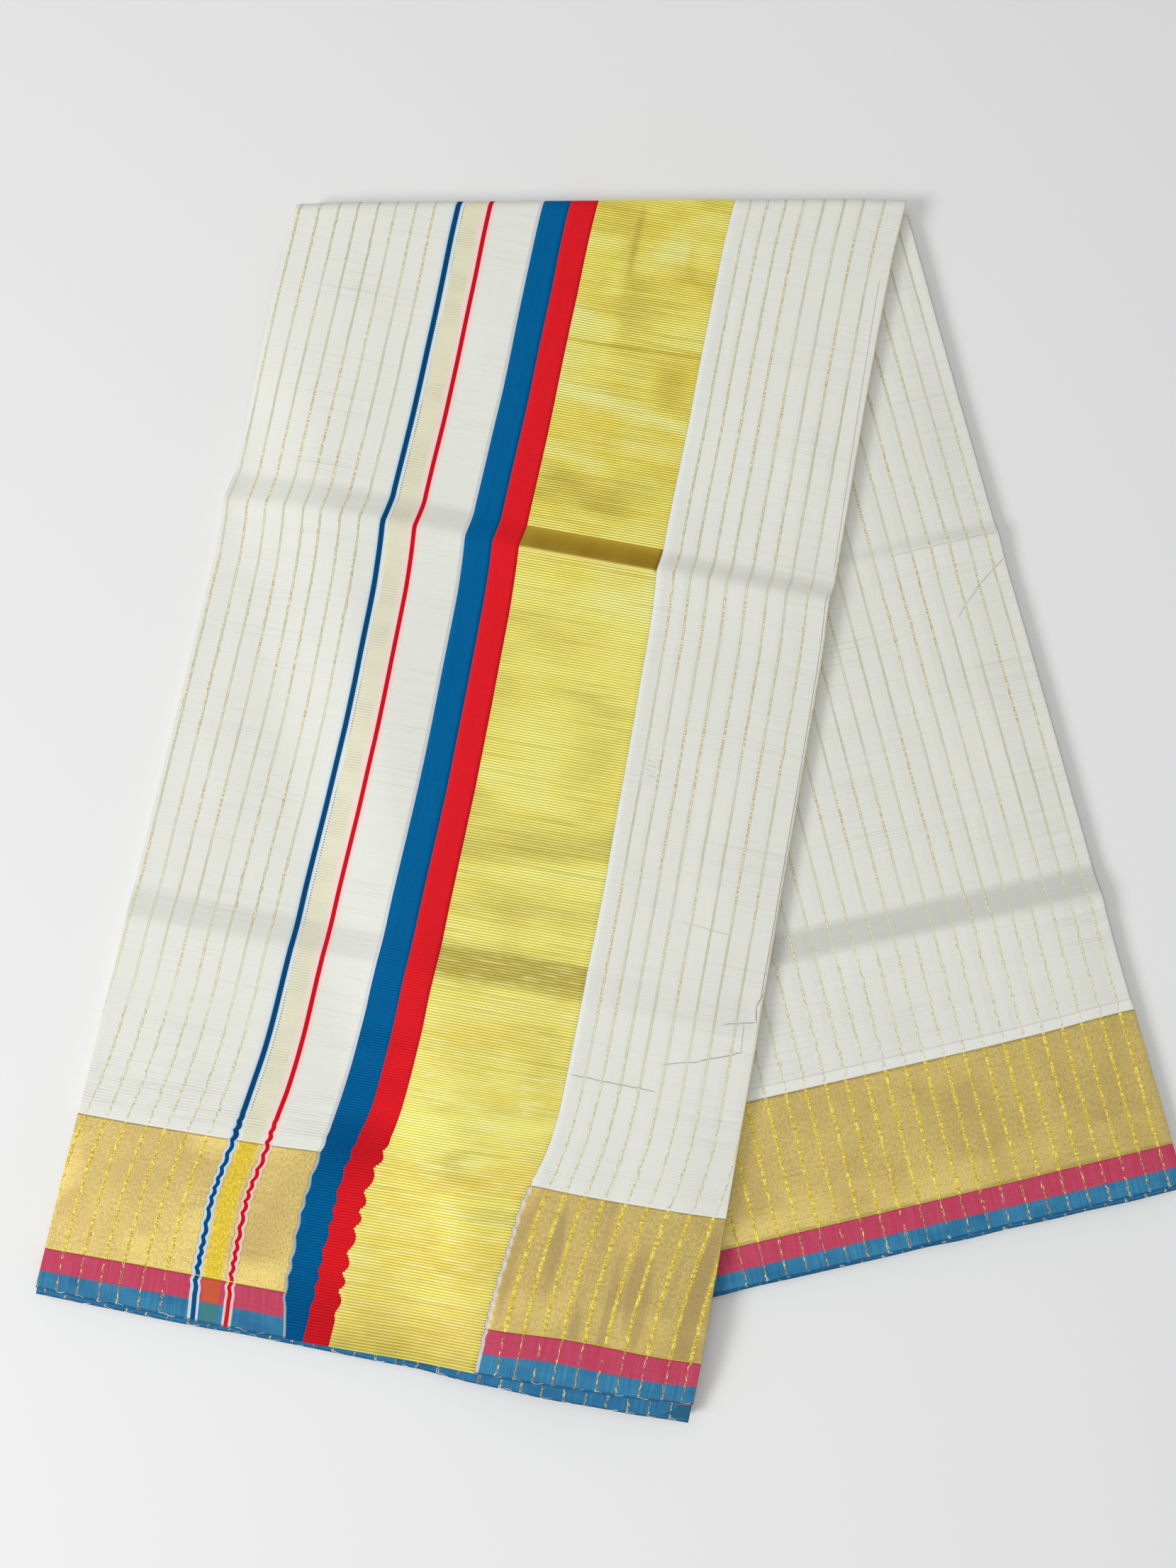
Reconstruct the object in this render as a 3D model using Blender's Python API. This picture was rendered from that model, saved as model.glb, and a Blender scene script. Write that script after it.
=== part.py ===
import math
from collections import namedtuple

import bpy

# A pleated saree, laid down in two legs that cross at one slanted fold. All sizes are in metres.
# X runs along the fold, Y towards it and Z up. The front leg lies over the back leg and leans left.

# Driving sizes
PACK_WIDTH = 0.305
CLOTH_WIDTH = 1.130
LEG_THICKNESS = 0.0075
WALL = 0.0010
SEAM = 0.0003
FRONT_LEAN = math.radians(11.3)
BACK_LEAN = math.radians(12.45)

# Length of each leg from the fold line to the ends of its inner layers, at its left and right edges
FRONT_LEFT = 0.543
FRONT_RIGHT = 0.602
BACK_RIGHT = 0.501

# How far each leg's face stops short of the layers below it, left and right, and how far its middle bows out
FRONT_PEEK_LEFT = 0.003
FRONT_PEEK_RIGHT = 0.009
FRONT_PEEK_BOW = 0.0035
BACK_PEEK_LEFT = 0.0008
BACK_PEEK_RIGHT = 0.0022
PEEK_FROM = 0.10
PEEK_TO = 0.15

# Woven stripes along the selvedge, by their upper edges
BLUE_SELVEDGE = 0.0080
PINK_STRIPE = 0.0184
GOLD_BORDER = 0.0820

# Bands of the end piece, by their places across the pack at the fold
BLUE_BAND = 0.1254
RED_BAND = 0.1382
TISSUE_BAND = 0.1525
TISSUE_END = 0.2203

# The roll of the fold
LEG_GAP = 0.0003
ROLL_MIDDLE = LEG_THICKNESS + LEG_GAP / 2
ROLL_FACE_END = math.radians(142)
ROLL_FACE_STEPS = 6
ROLL_UNDER_STEPS = 2
ROLL_SEAM = 0.0007
BACK_SHIFT = 0.006
FOLD_FLARE = 0.003
FOLD_FLARE_LENGTH = 0.030
BACK_CROWN_FADE = 0.090

# Where the front leg comes down from the back leg to the floor
RAMP = 0.055
RAMP_CLEAR = 0.014
RAMP_START = 0.120

# Rounding of the long edges
EDGE_RADIUS = 0.0020
EDGE_STEPS = 3
EDGE_DROP = 0.0010
EDGE_DROP_WIDTH = 0.030
CORNER_RADIUS = 0.0007

# Layers at the edges
GROOVE = 0.0013
END_GROOVE = 0.0008
LAYER_WAVE = 0.0003
LAYER_WAVE_LENGTH = 0.21

# Spacing of the rows of points along the legs, and their columns in each stretch of the width
ROW_STEP = 0.024
TOP_ROWS = 6
BACK_CLEAR = 0.022
BACK_FADE = 0.030
CELLS = (6, 1, 1, 3, 4)

# The end piece has slid to the left towards the selvedge
Slide = namedtuple("Slide", "from_selvedge shift")
SLIDES = (
    Slide(0.000, -0.0135),
    Slide(0.020, -0.0130),
    Slide(0.050, -0.0120),
    Slide(0.065, -0.0110),
    Slide(0.080, -0.0085),
    Slide(0.095, -0.0050),
    Slide(0.110, -0.0025),
    Slide(0.130, -0.0010),
    Slide(0.190, 0.0),
)

# Creases left by an earlier folding, by the distance of their crests from the selvedge
Crease = namedtuple("Crease", "at rise fold_side end_side jog")
FRONT_CREASES = (
    Crease(0.388, 0.0028, 0.015, 0.030, -0.0018),
    Crease(0.193, 0.0014, 0.020, 0.030, 0.0),
)
BACK_CREASES = (
    Crease(0.327, 0.0018, 0.016, 0.024, 0.0),
    Crease(0.143, 0.0014, 0.022, 0.030, 0.0),
)

# How far each layer's edge stands back from the leg's edge
LayerEdge = namedtuple("LayerEdge", "front_left front_right back_left back_right end")
LAYER_EDGES = (
    LayerEdge(0.0006, 0.0003, 0.0004, 0.0003, 0.0012),
    LayerEdge(0.0002, 0.0007, 0.0003, 0.0006, 0.0),
    LayerEdge(0.0005, 0.0002, 0.0005, 0.0002, 0.0015),
    LayerEdge(0.0003, 0.0006, 0.0002, 0.0005, 0.0006),
)

# One layer's rounded edge, by place through its thickness and share of the groove's depth
BulgePoint = namedtuple("BulgePoint", "place depth")
BULGE = (BulgePoint(0.0, 1.0), BulgePoint(0.24, 0.15), BulgePoint(0.76, 0.15))

# The hidden layers' corners: bare, and under a face of the leg
Corner = namedtuple("Corner", "height face_inset side_inset space")
BARE_CORNER = Corner(0.0002, 0.0009, 0.0006, 0.0001)
COVERED_CORNER = Corner(CORNER_RADIUS, GROOVE + CORNER_RADIUS, GROOVE, 0.0004)

# A row of points across the leg: a distance from the selvedge or an angle, and its share of the way from the fold
Row = namedtuple("Row", "leg at share")

Look = namedtuple("Look", "colour roughness metallic")
LOOKS = {
    "cotton": Look((0.84, 0.86, 0.82), 0.9, 0.0),
    "inner_layers": Look((0.78, 0.80, 0.76), 0.9, 0.0),
    "blue": Look((0.01, 0.11, 0.32), 0.8, 0.0),
    "red": Look((0.68, 0.01, 0.02), 0.8, 0.0),
    "tissue": Look((0.75, 0.56, 0.08), 0.35, 1.0),
    "gold": Look((0.60, 0.42, 0.12), 0.45, 0.8),
    "pink": Look((0.52, 0.06, 0.11), 0.8, 0.0),
    "selvedge": Look((0.03, 0.19, 0.38), 0.8, 0.0),
}

# Middle of the whole outline, from the left end of the fold line
MIDDLE_X = 0.1594
MIDDLE_Y = -0.2912


def clear_scene():
    for item in list(bpy.data.objects):
        bpy.data.objects.remove(item, do_unlink=True)


def smooth(t):
    t = min(max(t, 0.0), 1.0)
    return t * t * (3.0 - 2.0 * t)


def blend(a, b, t):
    return a + (b - a) * t


def spaced(low, high, step):
    count = max(1, round((high - low) / step))
    return [blend(low, high, k / count) for k in range(count + 1)]


def slide_at(s):
    for low, high in zip(SLIDES, SLIDES[1:]):
        if s <= high.from_selvedge:
            part = (s - low.from_selvedge) / (high.from_selvedge - low.from_selvedge)
            return blend(low.shift, high.shift, max(part, 0.0))
    return SLIDES[-1].shift


# Lengths of the legs


def front_end(u):
    return blend(FRONT_LEFT, FRONT_RIGHT, u / PACK_WIDTH)


def front_peek(u):
    q = u / PACK_WIDTH
    return blend(FRONT_PEEK_LEFT, FRONT_PEEK_RIGHT, q) - FRONT_PEEK_BOW * 4.0 * q * (1.0 - q)


def back_end(u):
    # What the front leg and the roll leave of the cloth's width, with its edge cut square on the right
    rolled = math.pi * ROLL_MIDDLE / math.cos(FRONT_LEAN)
    back_left = CLOTH_WIDTH - (FRONT_LEFT - FRONT_PEEK_LEFT) - rolled
    return blend(back_left, BACK_RIGHT, u / PACK_WIDTH)


def back_peek(u):
    return blend(BACK_PEEK_LEFT, BACK_PEEK_RIGHT, u / PACK_WIDTH)


# Relief of a leg's upper face


def crease_share(crease, s):
    d = s - crease.at
    reach = crease.fold_side if d > 0 else crease.end_side
    return max(0.0, 1.0 - abs(d) / reach) ** 1.4


def creases_at(creases, s):
    return sum(crease.rise * crease_share(crease, s) for crease in creases)


def crown(u):
    edge = min(u, PACK_WIDTH - u)
    return -EDGE_DROP * (1.0 - smooth(edge / EDGE_DROP_WIDTH))


def rest_height(x, y, v):
    # Underside of the front leg: on the back leg, on the floor beside it, or on its way down
    back_v = -y / math.cos(BACK_LEAN)
    back_u = (x - BACK_SHIFT - back_v * math.sin(BACK_LEAN)) * math.cos(FRONT_LEAN)
    beside = max(-back_u, 0.0)
    beyond = max(back_v - back_end(min(max(back_u, 0.0), PACK_WIDTH)), 0.0)
    away = (math.hypot(beside, beyond) - RAMP_CLEAR) / RAMP
    return (LEG_THICKNESS + LEG_GAP) * (1.0 - smooth(away) * smooth(v / RAMP_START))


# Places on the legs: u across the pack, v along it from the fold, height from the middle plane between the legs

CORE_TOP = LEG_THICKNESS - WALL - SEAM


def front_point(u, v, height):
    s = front_end(u) - v
    jog = sum(crease.jog * crease_share(crease, s) for crease in FRONT_CREASES)
    flare = FOLD_FLARE * (u / PACK_WIDTH) * math.exp(-v / FOLD_FLARE_LENGTH)
    x = (u + jog + flare) / math.cos(FRONT_LEAN) - v * math.sin(FRONT_LEAN)
    y = -v * math.cos(FRONT_LEAN)
    lift = creases_at(FRONT_CREASES, s) + crown(u)
    return (x, y, rest_height(x, y, v) + height + lift * min(1.0, height / CORE_TOP))


def roll_point(u, angle, height):
    flare = FOLD_FLARE * (u / PACK_WIDTH) * (1.0 - smooth(angle / math.pi))
    x = (u + flare) / math.cos(FRONT_LEAN) + BACK_SHIFT * angle / math.pi
    lift = crown(u) * min(1.0, height / CORE_TOP) * (1.0 - angle / math.pi)
    r = LEG_GAP / 2 + height + lift
    return (x, r * math.sin(angle), ROLL_MIDDLE + r * math.cos(angle))


def back_point(u, v, height):
    x = u / math.cos(FRONT_LEAN) + BACK_SHIFT + v * math.sin(BACK_LEAN)
    y = -v * math.cos(BACK_LEAN)
    front_v = -y / math.cos(FRONT_LEAN)
    beside = (x + front_v * math.sin(FRONT_LEAN)) * math.cos(FRONT_LEAN) - PACK_WIDTH
    shown = smooth((beside - BACK_CLEAR) / BACK_FADE)
    lift = creases_at(BACK_CREASES, back_end(u) - v) * shown + crown(u) * smooth(v / BACK_CROWN_FADE)
    share = (CORE_TOP - height) / (CORE_TOP - WALL - SEAM)
    return (x, y, LEG_THICKNESS - height + lift * min(1.0, max(0.0, share)))


def place(row, u, height, shorter=0.0):
    if row.leg == "roll":
        return roll_point(u, row.at, height)
    near_end = 1.0 - smooth((row.at - PEEK_FROM) / (PEEK_TO - PEEK_FROM))
    if row.leg == "front":
        v = front_end(u) - row.at - front_peek(u) * near_end
        return front_point(u, v * row.share - shorter, height)
    v = back_end(u) - row.at - back_peek(u) * near_end
    return back_point(u, v * row.share - shorter, height)


def pack_end_point(leg, u, height, shorter):
    if leg == "front":
        return front_point(u, front_end(u) - shorter, height)
    return back_point(u, back_end(u) - shorter, height)


# Rows of points along the cloth


def leg_rows(leg, marks, creases):
    # From the selvedge marks up over the creases, and on to the fold
    stops = list(marks)
    for crease in creases:
        stops += [crease.at - crease.end_side * k for k in (1.0, 0.6, 0.25)]
        stops += [crease.at + crease.fold_side * k for k in (0.0, 0.5, 1.0)]
    stops.sort()
    rows = [Row(leg, stops[0], 1.0)]
    for low, high in zip(stops, stops[1:]):
        rows += [Row(leg, s, 1.0) for s in spaced(low, high, ROW_STEP)[1:]]
    rows += [Row(leg, stops[-1], 1.0 - k / TOP_ROWS) for k in range(1, TOP_ROWS)]
    return rows


def front_rows(low):
    marks = [s for s in (GOLD_BORDER, 0.095, 0.110, 0.130) if s > low + SEAM]
    return leg_rows("front", [low] + marks, FRONT_CREASES)


def back_rows(low):
    return leg_rows("back", [low], BACK_CREASES)


def roll_rows(first, last, steps):
    return [Row("roll", blend(first, last, k / steps), 1.0) for k in range(steps + 1)]


def roll_face_rows():
    return roll_rows(0.0, ROLL_FACE_END, ROLL_FACE_STEPS)


# Columns of points across the pack. The five stretches of the width are the left field, three bands and the right field.


def stretch_marks(row):
    shift = slide_at(row.at) if row.leg == "front" and row.share == 1.0 else 0.0
    bands = [place_at_fold + shift for place_at_fold in (BLUE_BAND, RED_BAND, TISSUE_BAND, TISSUE_END)]
    return [EDGE_RADIUS] + bands + [PACK_WIDTH - EDGE_RADIUS]


def inner_columns(row):
    marks = stretch_marks(row)
    found = []
    for low, high, cells in zip(marks, marks[1:], CELLS):
        found += [blend(low, high, k / cells) for k in range(1, cells + 1)]
    return found[:-1]


def rounded_edge():
    # Places and depths of the long edge's rounding, from the side to the top
    angles = [math.radians(90) * (1.0 - k / EDGE_STEPS) for k in range(EDGE_STEPS)]
    return [(EDGE_RADIUS * (1.0 - math.sin(a)), EDGE_RADIUS * (1.0 - math.cos(a))) for a in angles]


def stretch_columns(row, stretch):
    # Places and depths of one stretch's points, short of its neighbours by half a seam
    marks = stretch_marks(row)
    low, high = marks[stretch], marks[stretch + 1]
    low += SEAM / 2 if stretch > 0 else 0.0
    high -= SEAM / 2 if stretch < len(CELLS) - 1 else 0.0
    columns = [(blend(low, high, k / CELLS[stretch]), 0.0) for k in range(CELLS[stretch] + 1)]
    if stretch == 0:
        columns = rounded_edge() + columns
    if stretch == len(CELLS) - 1:
        columns += [(PACK_WIDTH - u, depth) for u, depth in rounded_edge()[::-1]]
    return columns


def whole_columns(row):
    inner = [(u, 0.0) for u in inner_columns(row)]
    ends = [(PACK_WIDTH - u, depth) for u, depth in rounded_edge()[::-1]]
    return rounded_edge() + [(EDGE_RADIUS, 0.0)] + inner + [(PACK_WIDTH - EDGE_RADIUS, 0.0)] + ends


# Meshes


def material(look):
    made = bpy.data.materials.get(look) or bpy.data.materials.new(look)
    made.use_nodes = True
    shader = made.node_tree.nodes["Principled BSDF"]
    shader.inputs["Base Color"].default_value = (*LOOKS[look].colour, 1.0)
    shader.inputs["Roughness"].default_value = LOOKS[look].roughness
    shader.inputs["Metallic"].default_value = LOOKS[look].metallic
    return made


def add_mesh(name, points, faces, look):
    mesh = bpy.data.meshes.new(name)
    mesh.from_pydata([(x - MIDDLE_X, y - MIDDLE_Y, z) for x, y, z in points], [], faces)
    mesh.update()
    mesh.materials.append(material(look))
    mesh.shade_smooth()
    mesh.set_sharp_from_angle(angle=math.radians(40))
    made = bpy.data.objects.new(name, mesh)
    bpy.context.scene.collection.objects.link(made)
    return made


def add_face_layer(name, sections, look, flip=False):
    # One stretch of the outer cloth. The grid is its outer side, and the wall goes inwards from it.
    columns = len(sections[0])
    faces = []
    for k in range(len(sections) - 1):
        for j in range(columns - 1):
            a = k * columns + j
            face = (a, a + 1, a + columns + 1, a + columns)
            faces.append(face[::-1] if flip else face)
    made = add_mesh(name, [point for section in sections for point in section], faces, look)
    wall = made.modifiers.new("wall", "SOLIDIFY")
    wall.thickness = WALL
    wall.offset = -1.0
    wall.use_even_offset = True


# Stretches of the front leg's face, which go on round the fold


def add_front_stretch(name, rows, stretch, look):
    sections = []
    for row in rows:
        columns = stretch_columns(row, stretch)
        sections.append([place(row, u, LEG_THICKNESS - depth) for u, depth in columns])
    add_face_layer(name, sections, look)


def border_rows(leg, low, high, step):
    return [Row(leg, s, 1.0) for s in spaced(low, high, step)]


def add_front_fields():
    for side, stretch in (("left", 0), ("right", len(CELLS) - 1)):
        field = front_rows(GOLD_BORDER + SEAM) + roll_face_rows()
        gold = border_rows("front", PINK_STRIPE + SEAM, GOLD_BORDER, 0.021)
        pink = border_rows("front", BLUE_SELVEDGE + SEAM, PINK_STRIPE, 0.010)
        blue = border_rows("front", 0.0, BLUE_SELVEDGE, 0.008)
        add_front_stretch(f"front_field_{side}", field, stretch, "cotton")
        add_front_stretch(f"front_gold_border_{side}", gold, stretch, "gold")
        add_front_stretch(f"front_pink_stripe_{side}", pink, stretch, "pink")
        add_front_stretch(f"front_blue_selvedge_{side}", blue, stretch, "selvedge")


def add_end_piece_bands():
    border = border_rows("front", 0.0, BLUE_SELVEDGE, 0.008)
    border += border_rows("front", PINK_STRIPE, GOLD_BORDER, 0.021)
    rows = border[:-1] + front_rows(GOLD_BORDER) + roll_face_rows()
    add_front_stretch("end_piece_blue_band", rows, 1, "blue")
    add_front_stretch("end_piece_red_band", rows, 2, "red")
    add_front_stretch("end_piece_tissue_band", rows, 3, "tissue")


# Stretches of the back leg


def add_back_face():
    field = back_rows(GOLD_BORDER + SEAM)
    fold_row = [[back_point(u, SEAM, depth) for u, depth in whole_columns(field[0])]]
    stripes = (
        ("back_gold_border", PINK_STRIPE + SEAM, GOLD_BORDER, 0.021, "gold"),
        ("back_pink_stripe", BLUE_SELVEDGE + SEAM, PINK_STRIPE, 0.010, "pink"),
        ("back_blue_selvedge", 0.0, BLUE_SELVEDGE, 0.008, "selvedge"),
    )
    add_face_layer("back_field", [back_section(row) for row in field] + fold_row, "cotton")
    for name, low, high, step, look in stripes:
        sections = [back_section(row) for row in border_rows("back", low, high, step)]
        add_face_layer(name, sections, look)


def back_section(row):
    return [place(row, u, depth) for u, depth in whole_columns(row)]


def add_under_face():
    # The end piece goes on under the back leg, face down
    rows = roll_rows(ROLL_FACE_END + ROLL_SEAM / ROLL_MIDDLE, math.pi, ROLL_UNDER_STEPS)
    rows += [Row("back", 0.0, share) for share in (0.33, 0.67, 1.0)]
    columns = spaced(EDGE_RADIUS / 2, PACK_WIDTH - EDGE_RADIUS / 2, 0.06)
    sections = [[place(row, u, LEG_THICKNESS) for u in columns] for row in rows]
    add_face_layer("under_face", sections, "cotton")


# Hidden layers, as one folded block with layered edges


def layer_levels(low, high, inner, outer):
    # Height, inset and layer of each level from the inner to the outer face. The corners have no layer.
    start = low + inner.height + inner.space
    stop = high - outer.height - outer.space
    levels = [(low, inner.face_inset, None), (low + inner.height, inner.side_inset, None)]
    for n in range(len(LAYER_EDGES)):
        for point in BULGE:
            height = blend(start, stop, (n + point.place) / len(LAYER_EDGES))
            levels.append((height, point.depth * GROOVE, n))
    levels.append((stop, GROOVE, len(LAYER_EDGES) - 1))
    return levels + [(high - outer.height, outer.side_inset, None), (high, outer.face_inset, None)]


FRONT_LEVELS = layer_levels(0.0, CORE_TOP, BARE_CORNER, COVERED_CORNER)
BACK_LEVELS = layer_levels(WALL + SEAM, CORE_TOP, COVERED_CORNER, BARE_CORNER)


def turn_at(row, index):
    # Share of the way from the front leg's shape to the back leg's. The outer levels keep the first under the face.
    if row.leg != "roll":
        return 1.0 if row.leg == "back" else 0.0
    outer = max(0.0, (row.at - ROLL_FACE_END) / (math.pi - ROLL_FACE_END))
    return blend(row.at / math.pi, outer, index / (len(FRONT_LEVELS) - 1))


def layer_insets(layer, turn, order):
    # How far a layer stands back on the left and on the right, waving along the leg
    if layer is None:
        return 0.0, 0.0
    edge = LAYER_EDGES[layer]
    wave = LAYER_WAVE * (1.0 + math.sin(order * ROW_STEP / LAYER_WAVE_LENGTH * math.tau + 1.7 * layer))
    left = blend(edge.front_left, edge.back_left, turn) + wave
    right = blend(edge.front_right, edge.back_right, turn) + wave
    return left, right


def layer_section(row, order, index, at_pack_end):
    turn = turn_at(row, index)
    front_height, front_inset, layer = FRONT_LEVELS[index]
    back_height, back_inset, _ = BACK_LEVELS[index]
    height = blend(front_height, back_height, turn)
    inset = blend(front_inset, back_inset, turn)
    left, right = layer_insets(layer, turn, order)
    columns = [inset + left] + inner_columns(row) + [PACK_WIDTH - inset - right]
    if not at_pack_end:
        return [place(row, u, height) for u in columns]
    shorter = inset / GROOVE * END_GROOVE + (LAYER_EDGES[layer].end if layer is not None else 0.0)
    return [pack_end_point(row.leg, u, height, shorter) for u in columns]


def add_hidden_layers():
    marks = [Row("front", s, 1.0) for s in (0.0, BLUE_SELVEDGE, PINK_STRIPE, 0.040, 0.061)]
    back_marks = [Row("back", s, 1.0) for s in (0.0, BLUE_SELVEDGE, PINK_STRIPE, 0.040, 0.061)]
    rows = marks + front_rows(GOLD_BORDER) + roll_face_rows()
    rows += roll_rows(ROLL_FACE_END, math.pi, ROLL_UNDER_STEPS)[1:]
    rows += (back_marks + back_rows(GOLD_BORDER))[::-1]
    last = len(rows) - 1
    levels = len(FRONT_LEVELS)
    columns = len(inner_columns(rows[0])) + 2
    number = {}
    points = []
    faces = []

    for k, row in enumerate(rows):
        for i in range(levels):
            for j, point in enumerate(layer_section(row, k, i, k in (0, last))):
                if k in (0, last) or i in (0, levels - 1) or j in (0, columns - 1):
                    number[k, j, i] = len(points)
                    points.append(point)

    def quad(*corners):
        faces.append([number[corner] for corner in corners])

    top = levels - 1
    right = columns - 1
    for k in range(last):
        for j in range(right):
            quad((k, j, 0), (k + 1, j, 0), (k + 1, j + 1, 0), (k, j + 1, 0))
            quad((k, j, top), (k, j + 1, top), (k + 1, j + 1, top), (k + 1, j, top))
        for i in range(top):
            quad((k, 0, i), (k, 0, i + 1), (k + 1, 0, i + 1), (k + 1, 0, i))
            quad((k, right, i), (k + 1, right, i), (k + 1, right, i + 1), (k, right, i + 1))
    for j in range(right):
        for i in range(top):
            quad((0, j, i), (0, j + 1, i), (0, j + 1, i + 1), (0, j, i + 1))
            quad((last, j, i), (last, j, i + 1), (last, j + 1, i + 1), (last, j + 1, i))
    add_mesh("hidden_layers", points, faces, "inner_layers")


def main():
    clear_scene()
    add_hidden_layers()
    add_front_fields()
    add_end_piece_bands()
    add_back_face()
    add_under_face()


main()
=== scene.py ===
import math

import bmesh
import bpy
import numpy as np
from mathutils import Matrix, Vector


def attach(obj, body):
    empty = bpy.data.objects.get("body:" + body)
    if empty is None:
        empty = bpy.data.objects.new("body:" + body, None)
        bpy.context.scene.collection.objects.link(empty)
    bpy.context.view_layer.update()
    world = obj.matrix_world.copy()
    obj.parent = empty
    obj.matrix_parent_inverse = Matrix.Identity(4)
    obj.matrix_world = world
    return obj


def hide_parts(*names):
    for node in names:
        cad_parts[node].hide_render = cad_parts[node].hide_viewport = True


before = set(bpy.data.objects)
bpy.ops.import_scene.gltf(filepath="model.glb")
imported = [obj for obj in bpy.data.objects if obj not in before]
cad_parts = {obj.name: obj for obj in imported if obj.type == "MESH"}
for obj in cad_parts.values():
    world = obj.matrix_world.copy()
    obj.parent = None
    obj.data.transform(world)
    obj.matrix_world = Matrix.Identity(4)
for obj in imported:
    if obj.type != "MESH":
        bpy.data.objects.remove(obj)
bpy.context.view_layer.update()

# Form of the folded saree, as its solids have it. u runs across the pack, v along a leg from the fold, s along
# the cloth from its selvedge and m across the end piece at the fold. The front leg lies over the back leg.
pack = {
    "width": 0.305, "clothWidth": 1.130, "legThickness": 0.0075, "legGap": 0.0003,
    "frontLean": math.radians(11.3), "backLean": math.radians(12.45),
    "frontLeft": 0.543, "frontRight": 0.602, "backRight": 0.501,
    "frontPeek": (0.003, 0.009), "frontPeekBow": 0.0035, "backPeek": (0.0008, 0.0022),
    "peekFade": (0.10, 0.15),
    "rollMiddle": 0.00765, "rollFaceEnd": math.radians(142), "backShift": 0.006,
    "flare": 0.003, "flareLength": 0.030, "ramp": 0.055, "rampClear": 0.014, "rampStart": 0.120,
    "crownDrop": 0.0010, "crownWidth": 0.030, "backCrownFade": 0.090, "coreTop": 0.0062,
    "backClear": 0.022, "backFade": 0.030, "middle": (0.1594, -0.2912),
}
weave = {
    "blueSelvedge": 0.0080, "pinkStripe": 0.0184, "goldBorder": 0.0820,
    "blueBand": 0.1254, "redBand": 0.1382, "tissueBand": 0.1525, "tissueEnd": 0.2203,
}


def smooth(t):
    t = np.clip(t, 0.0, 1.0)
    return t * t * (3.0 - 2.0 * t)


def mixed(a, b, t):
    return a + (b - a) * t


def latticeNoise(x, y, seed):
    # Smooth noise from -1 to 1 with one value for each unit square
    table = np.random.default_rng(seed).uniform(-1.0, 1.0, (97, 97))
    ix, iy = np.floor(x).astype(int), np.floor(y).astype(int)
    fx, fy = smooth(x - ix), smooth(y - iy)
    a, b = table[ix % 97, iy % 97], table[(ix + 1) % 97, iy % 97]
    c, d = table[ix % 97, (iy + 1) % 97], table[(ix + 1) % 97, (iy + 1) % 97]
    return mixed(mixed(a, b, fx), mixed(c, d, fx), fy)


# Lengths of the legs

def frontEnd(u):
    return mixed(pack["frontLeft"], pack["frontRight"], u / pack["width"])


def frontPeek(u):
    q = np.clip(u / pack["width"], 0.0, 1.0)
    return mixed(*pack["frontPeek"], q) - pack["frontPeekBow"] * 4.0 * q * (1.0 - q)


def backEnd(u):
    rolled = math.pi * pack["rollMiddle"] / math.cos(pack["frontLean"])
    left = pack["clothWidth"] - (pack["frontLeft"] - pack["frontPeek"][0]) - rolled
    return mixed(left, pack["backRight"], u / pack["width"])


def backPeek(u):
    return mixed(*pack["backPeek"], np.clip(u / pack["width"], 0.0, 1.0))


# How far the end piece's lines have slid, in mm: place at the fold, then (from the selvedge, shift)
slides = {
    -20.0: [(0, -12.5), (18, -13.6), (50, -12.6), (65, -11.4), (80, -9.2), (95, -6.2), (110, -4.4),
            (150, -1.5), (200, 0)],
    68.0: [(0, -12.0), (18, -13.2), (50, -12.4), (65, -10.6), (80, -8.6), (95, -5.8), (110, -4.2),
           (150, -1.2), (200, 0)],
    81.5: [(0, -6.5), (4, -7.3), (23, -9.9), (37, -10.1), (54, -10.9), (68, -9.0), (81, -6.9), (88, -6.3),
           (104, -4.9), (140, -1.8), (185, 0.3)],
    97.7: [(0, -7.8), (15, -9.2), (22, -10.3), (35, -10.7), (49, -11.1), (62, -10.8), (75, -7.6), (89, -6.6),
           (108, -3.5), (140, -1.2), (185, 0)],
    125.3: [(0, -7.1), (22, -12.1), (34, -11.6), (51, -12.5), (69, -11.4), (88, -8.8), (113, -5.7),
            (150, -1.6), (190, 0)],
    138.1: [(0, -12.5), (23, -11.7), (39, -12), (53, -11.2), (72, -11.1), (91, -7.9), (108, -3.8),
            (150, -0.8), (190, 0)],
    152.5: [(0, -14.7), (16, -14.1), (38, -14.1), (49, -13.5), (62, -12.4), (74, -11.9), (83, -9.2),
            (98, -5.8), (111, -3.9), (150, -0.8), (190, 0)],
    220.3: [(0, -14.8), (27, -13.9), (40, -13), (50, -11.7), (63, -10.2), (78, -8.8), (89, -5.2), (103, -0.9),
            (122, 1.0), (160, -0.6), (190, -1.6), (230, 0)],
    230.0: [(0, -13.4), (18, -12.8), (40, -12.0), (60, -9.8), (80, -7.2), (95, -3.4), (110, -0.6), (130, 0.6),
            (190, -1.0), (230, 0)],
    330.0: [(0, -15.0), (18, -14.6), (40, -12.6), (60, -9.6), (80, -5.6), (95, -2.4), (110, -0.8), (140, 0),
            (230, 0)],
}
# Waves of the woven lines where the border has shrunk: place, reach across, length and depth
scallops = [(0.0815, 0.0060, 0.0053, 0.0011), (0.0977, 0.0060, 0.0055, 0.0012),
            (0.1254, 0.0040, 0.0094, 0.0010), (0.1382, 0.0035, 0.0090, 0.0013),
            (0.1525, 0.0055, 0.0094, 0.0026), (0.2203, 0.0035, 0.0056, 0.0010)]
scallopZone = (0.008, 0.020, 0.084, 0.100)
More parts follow.
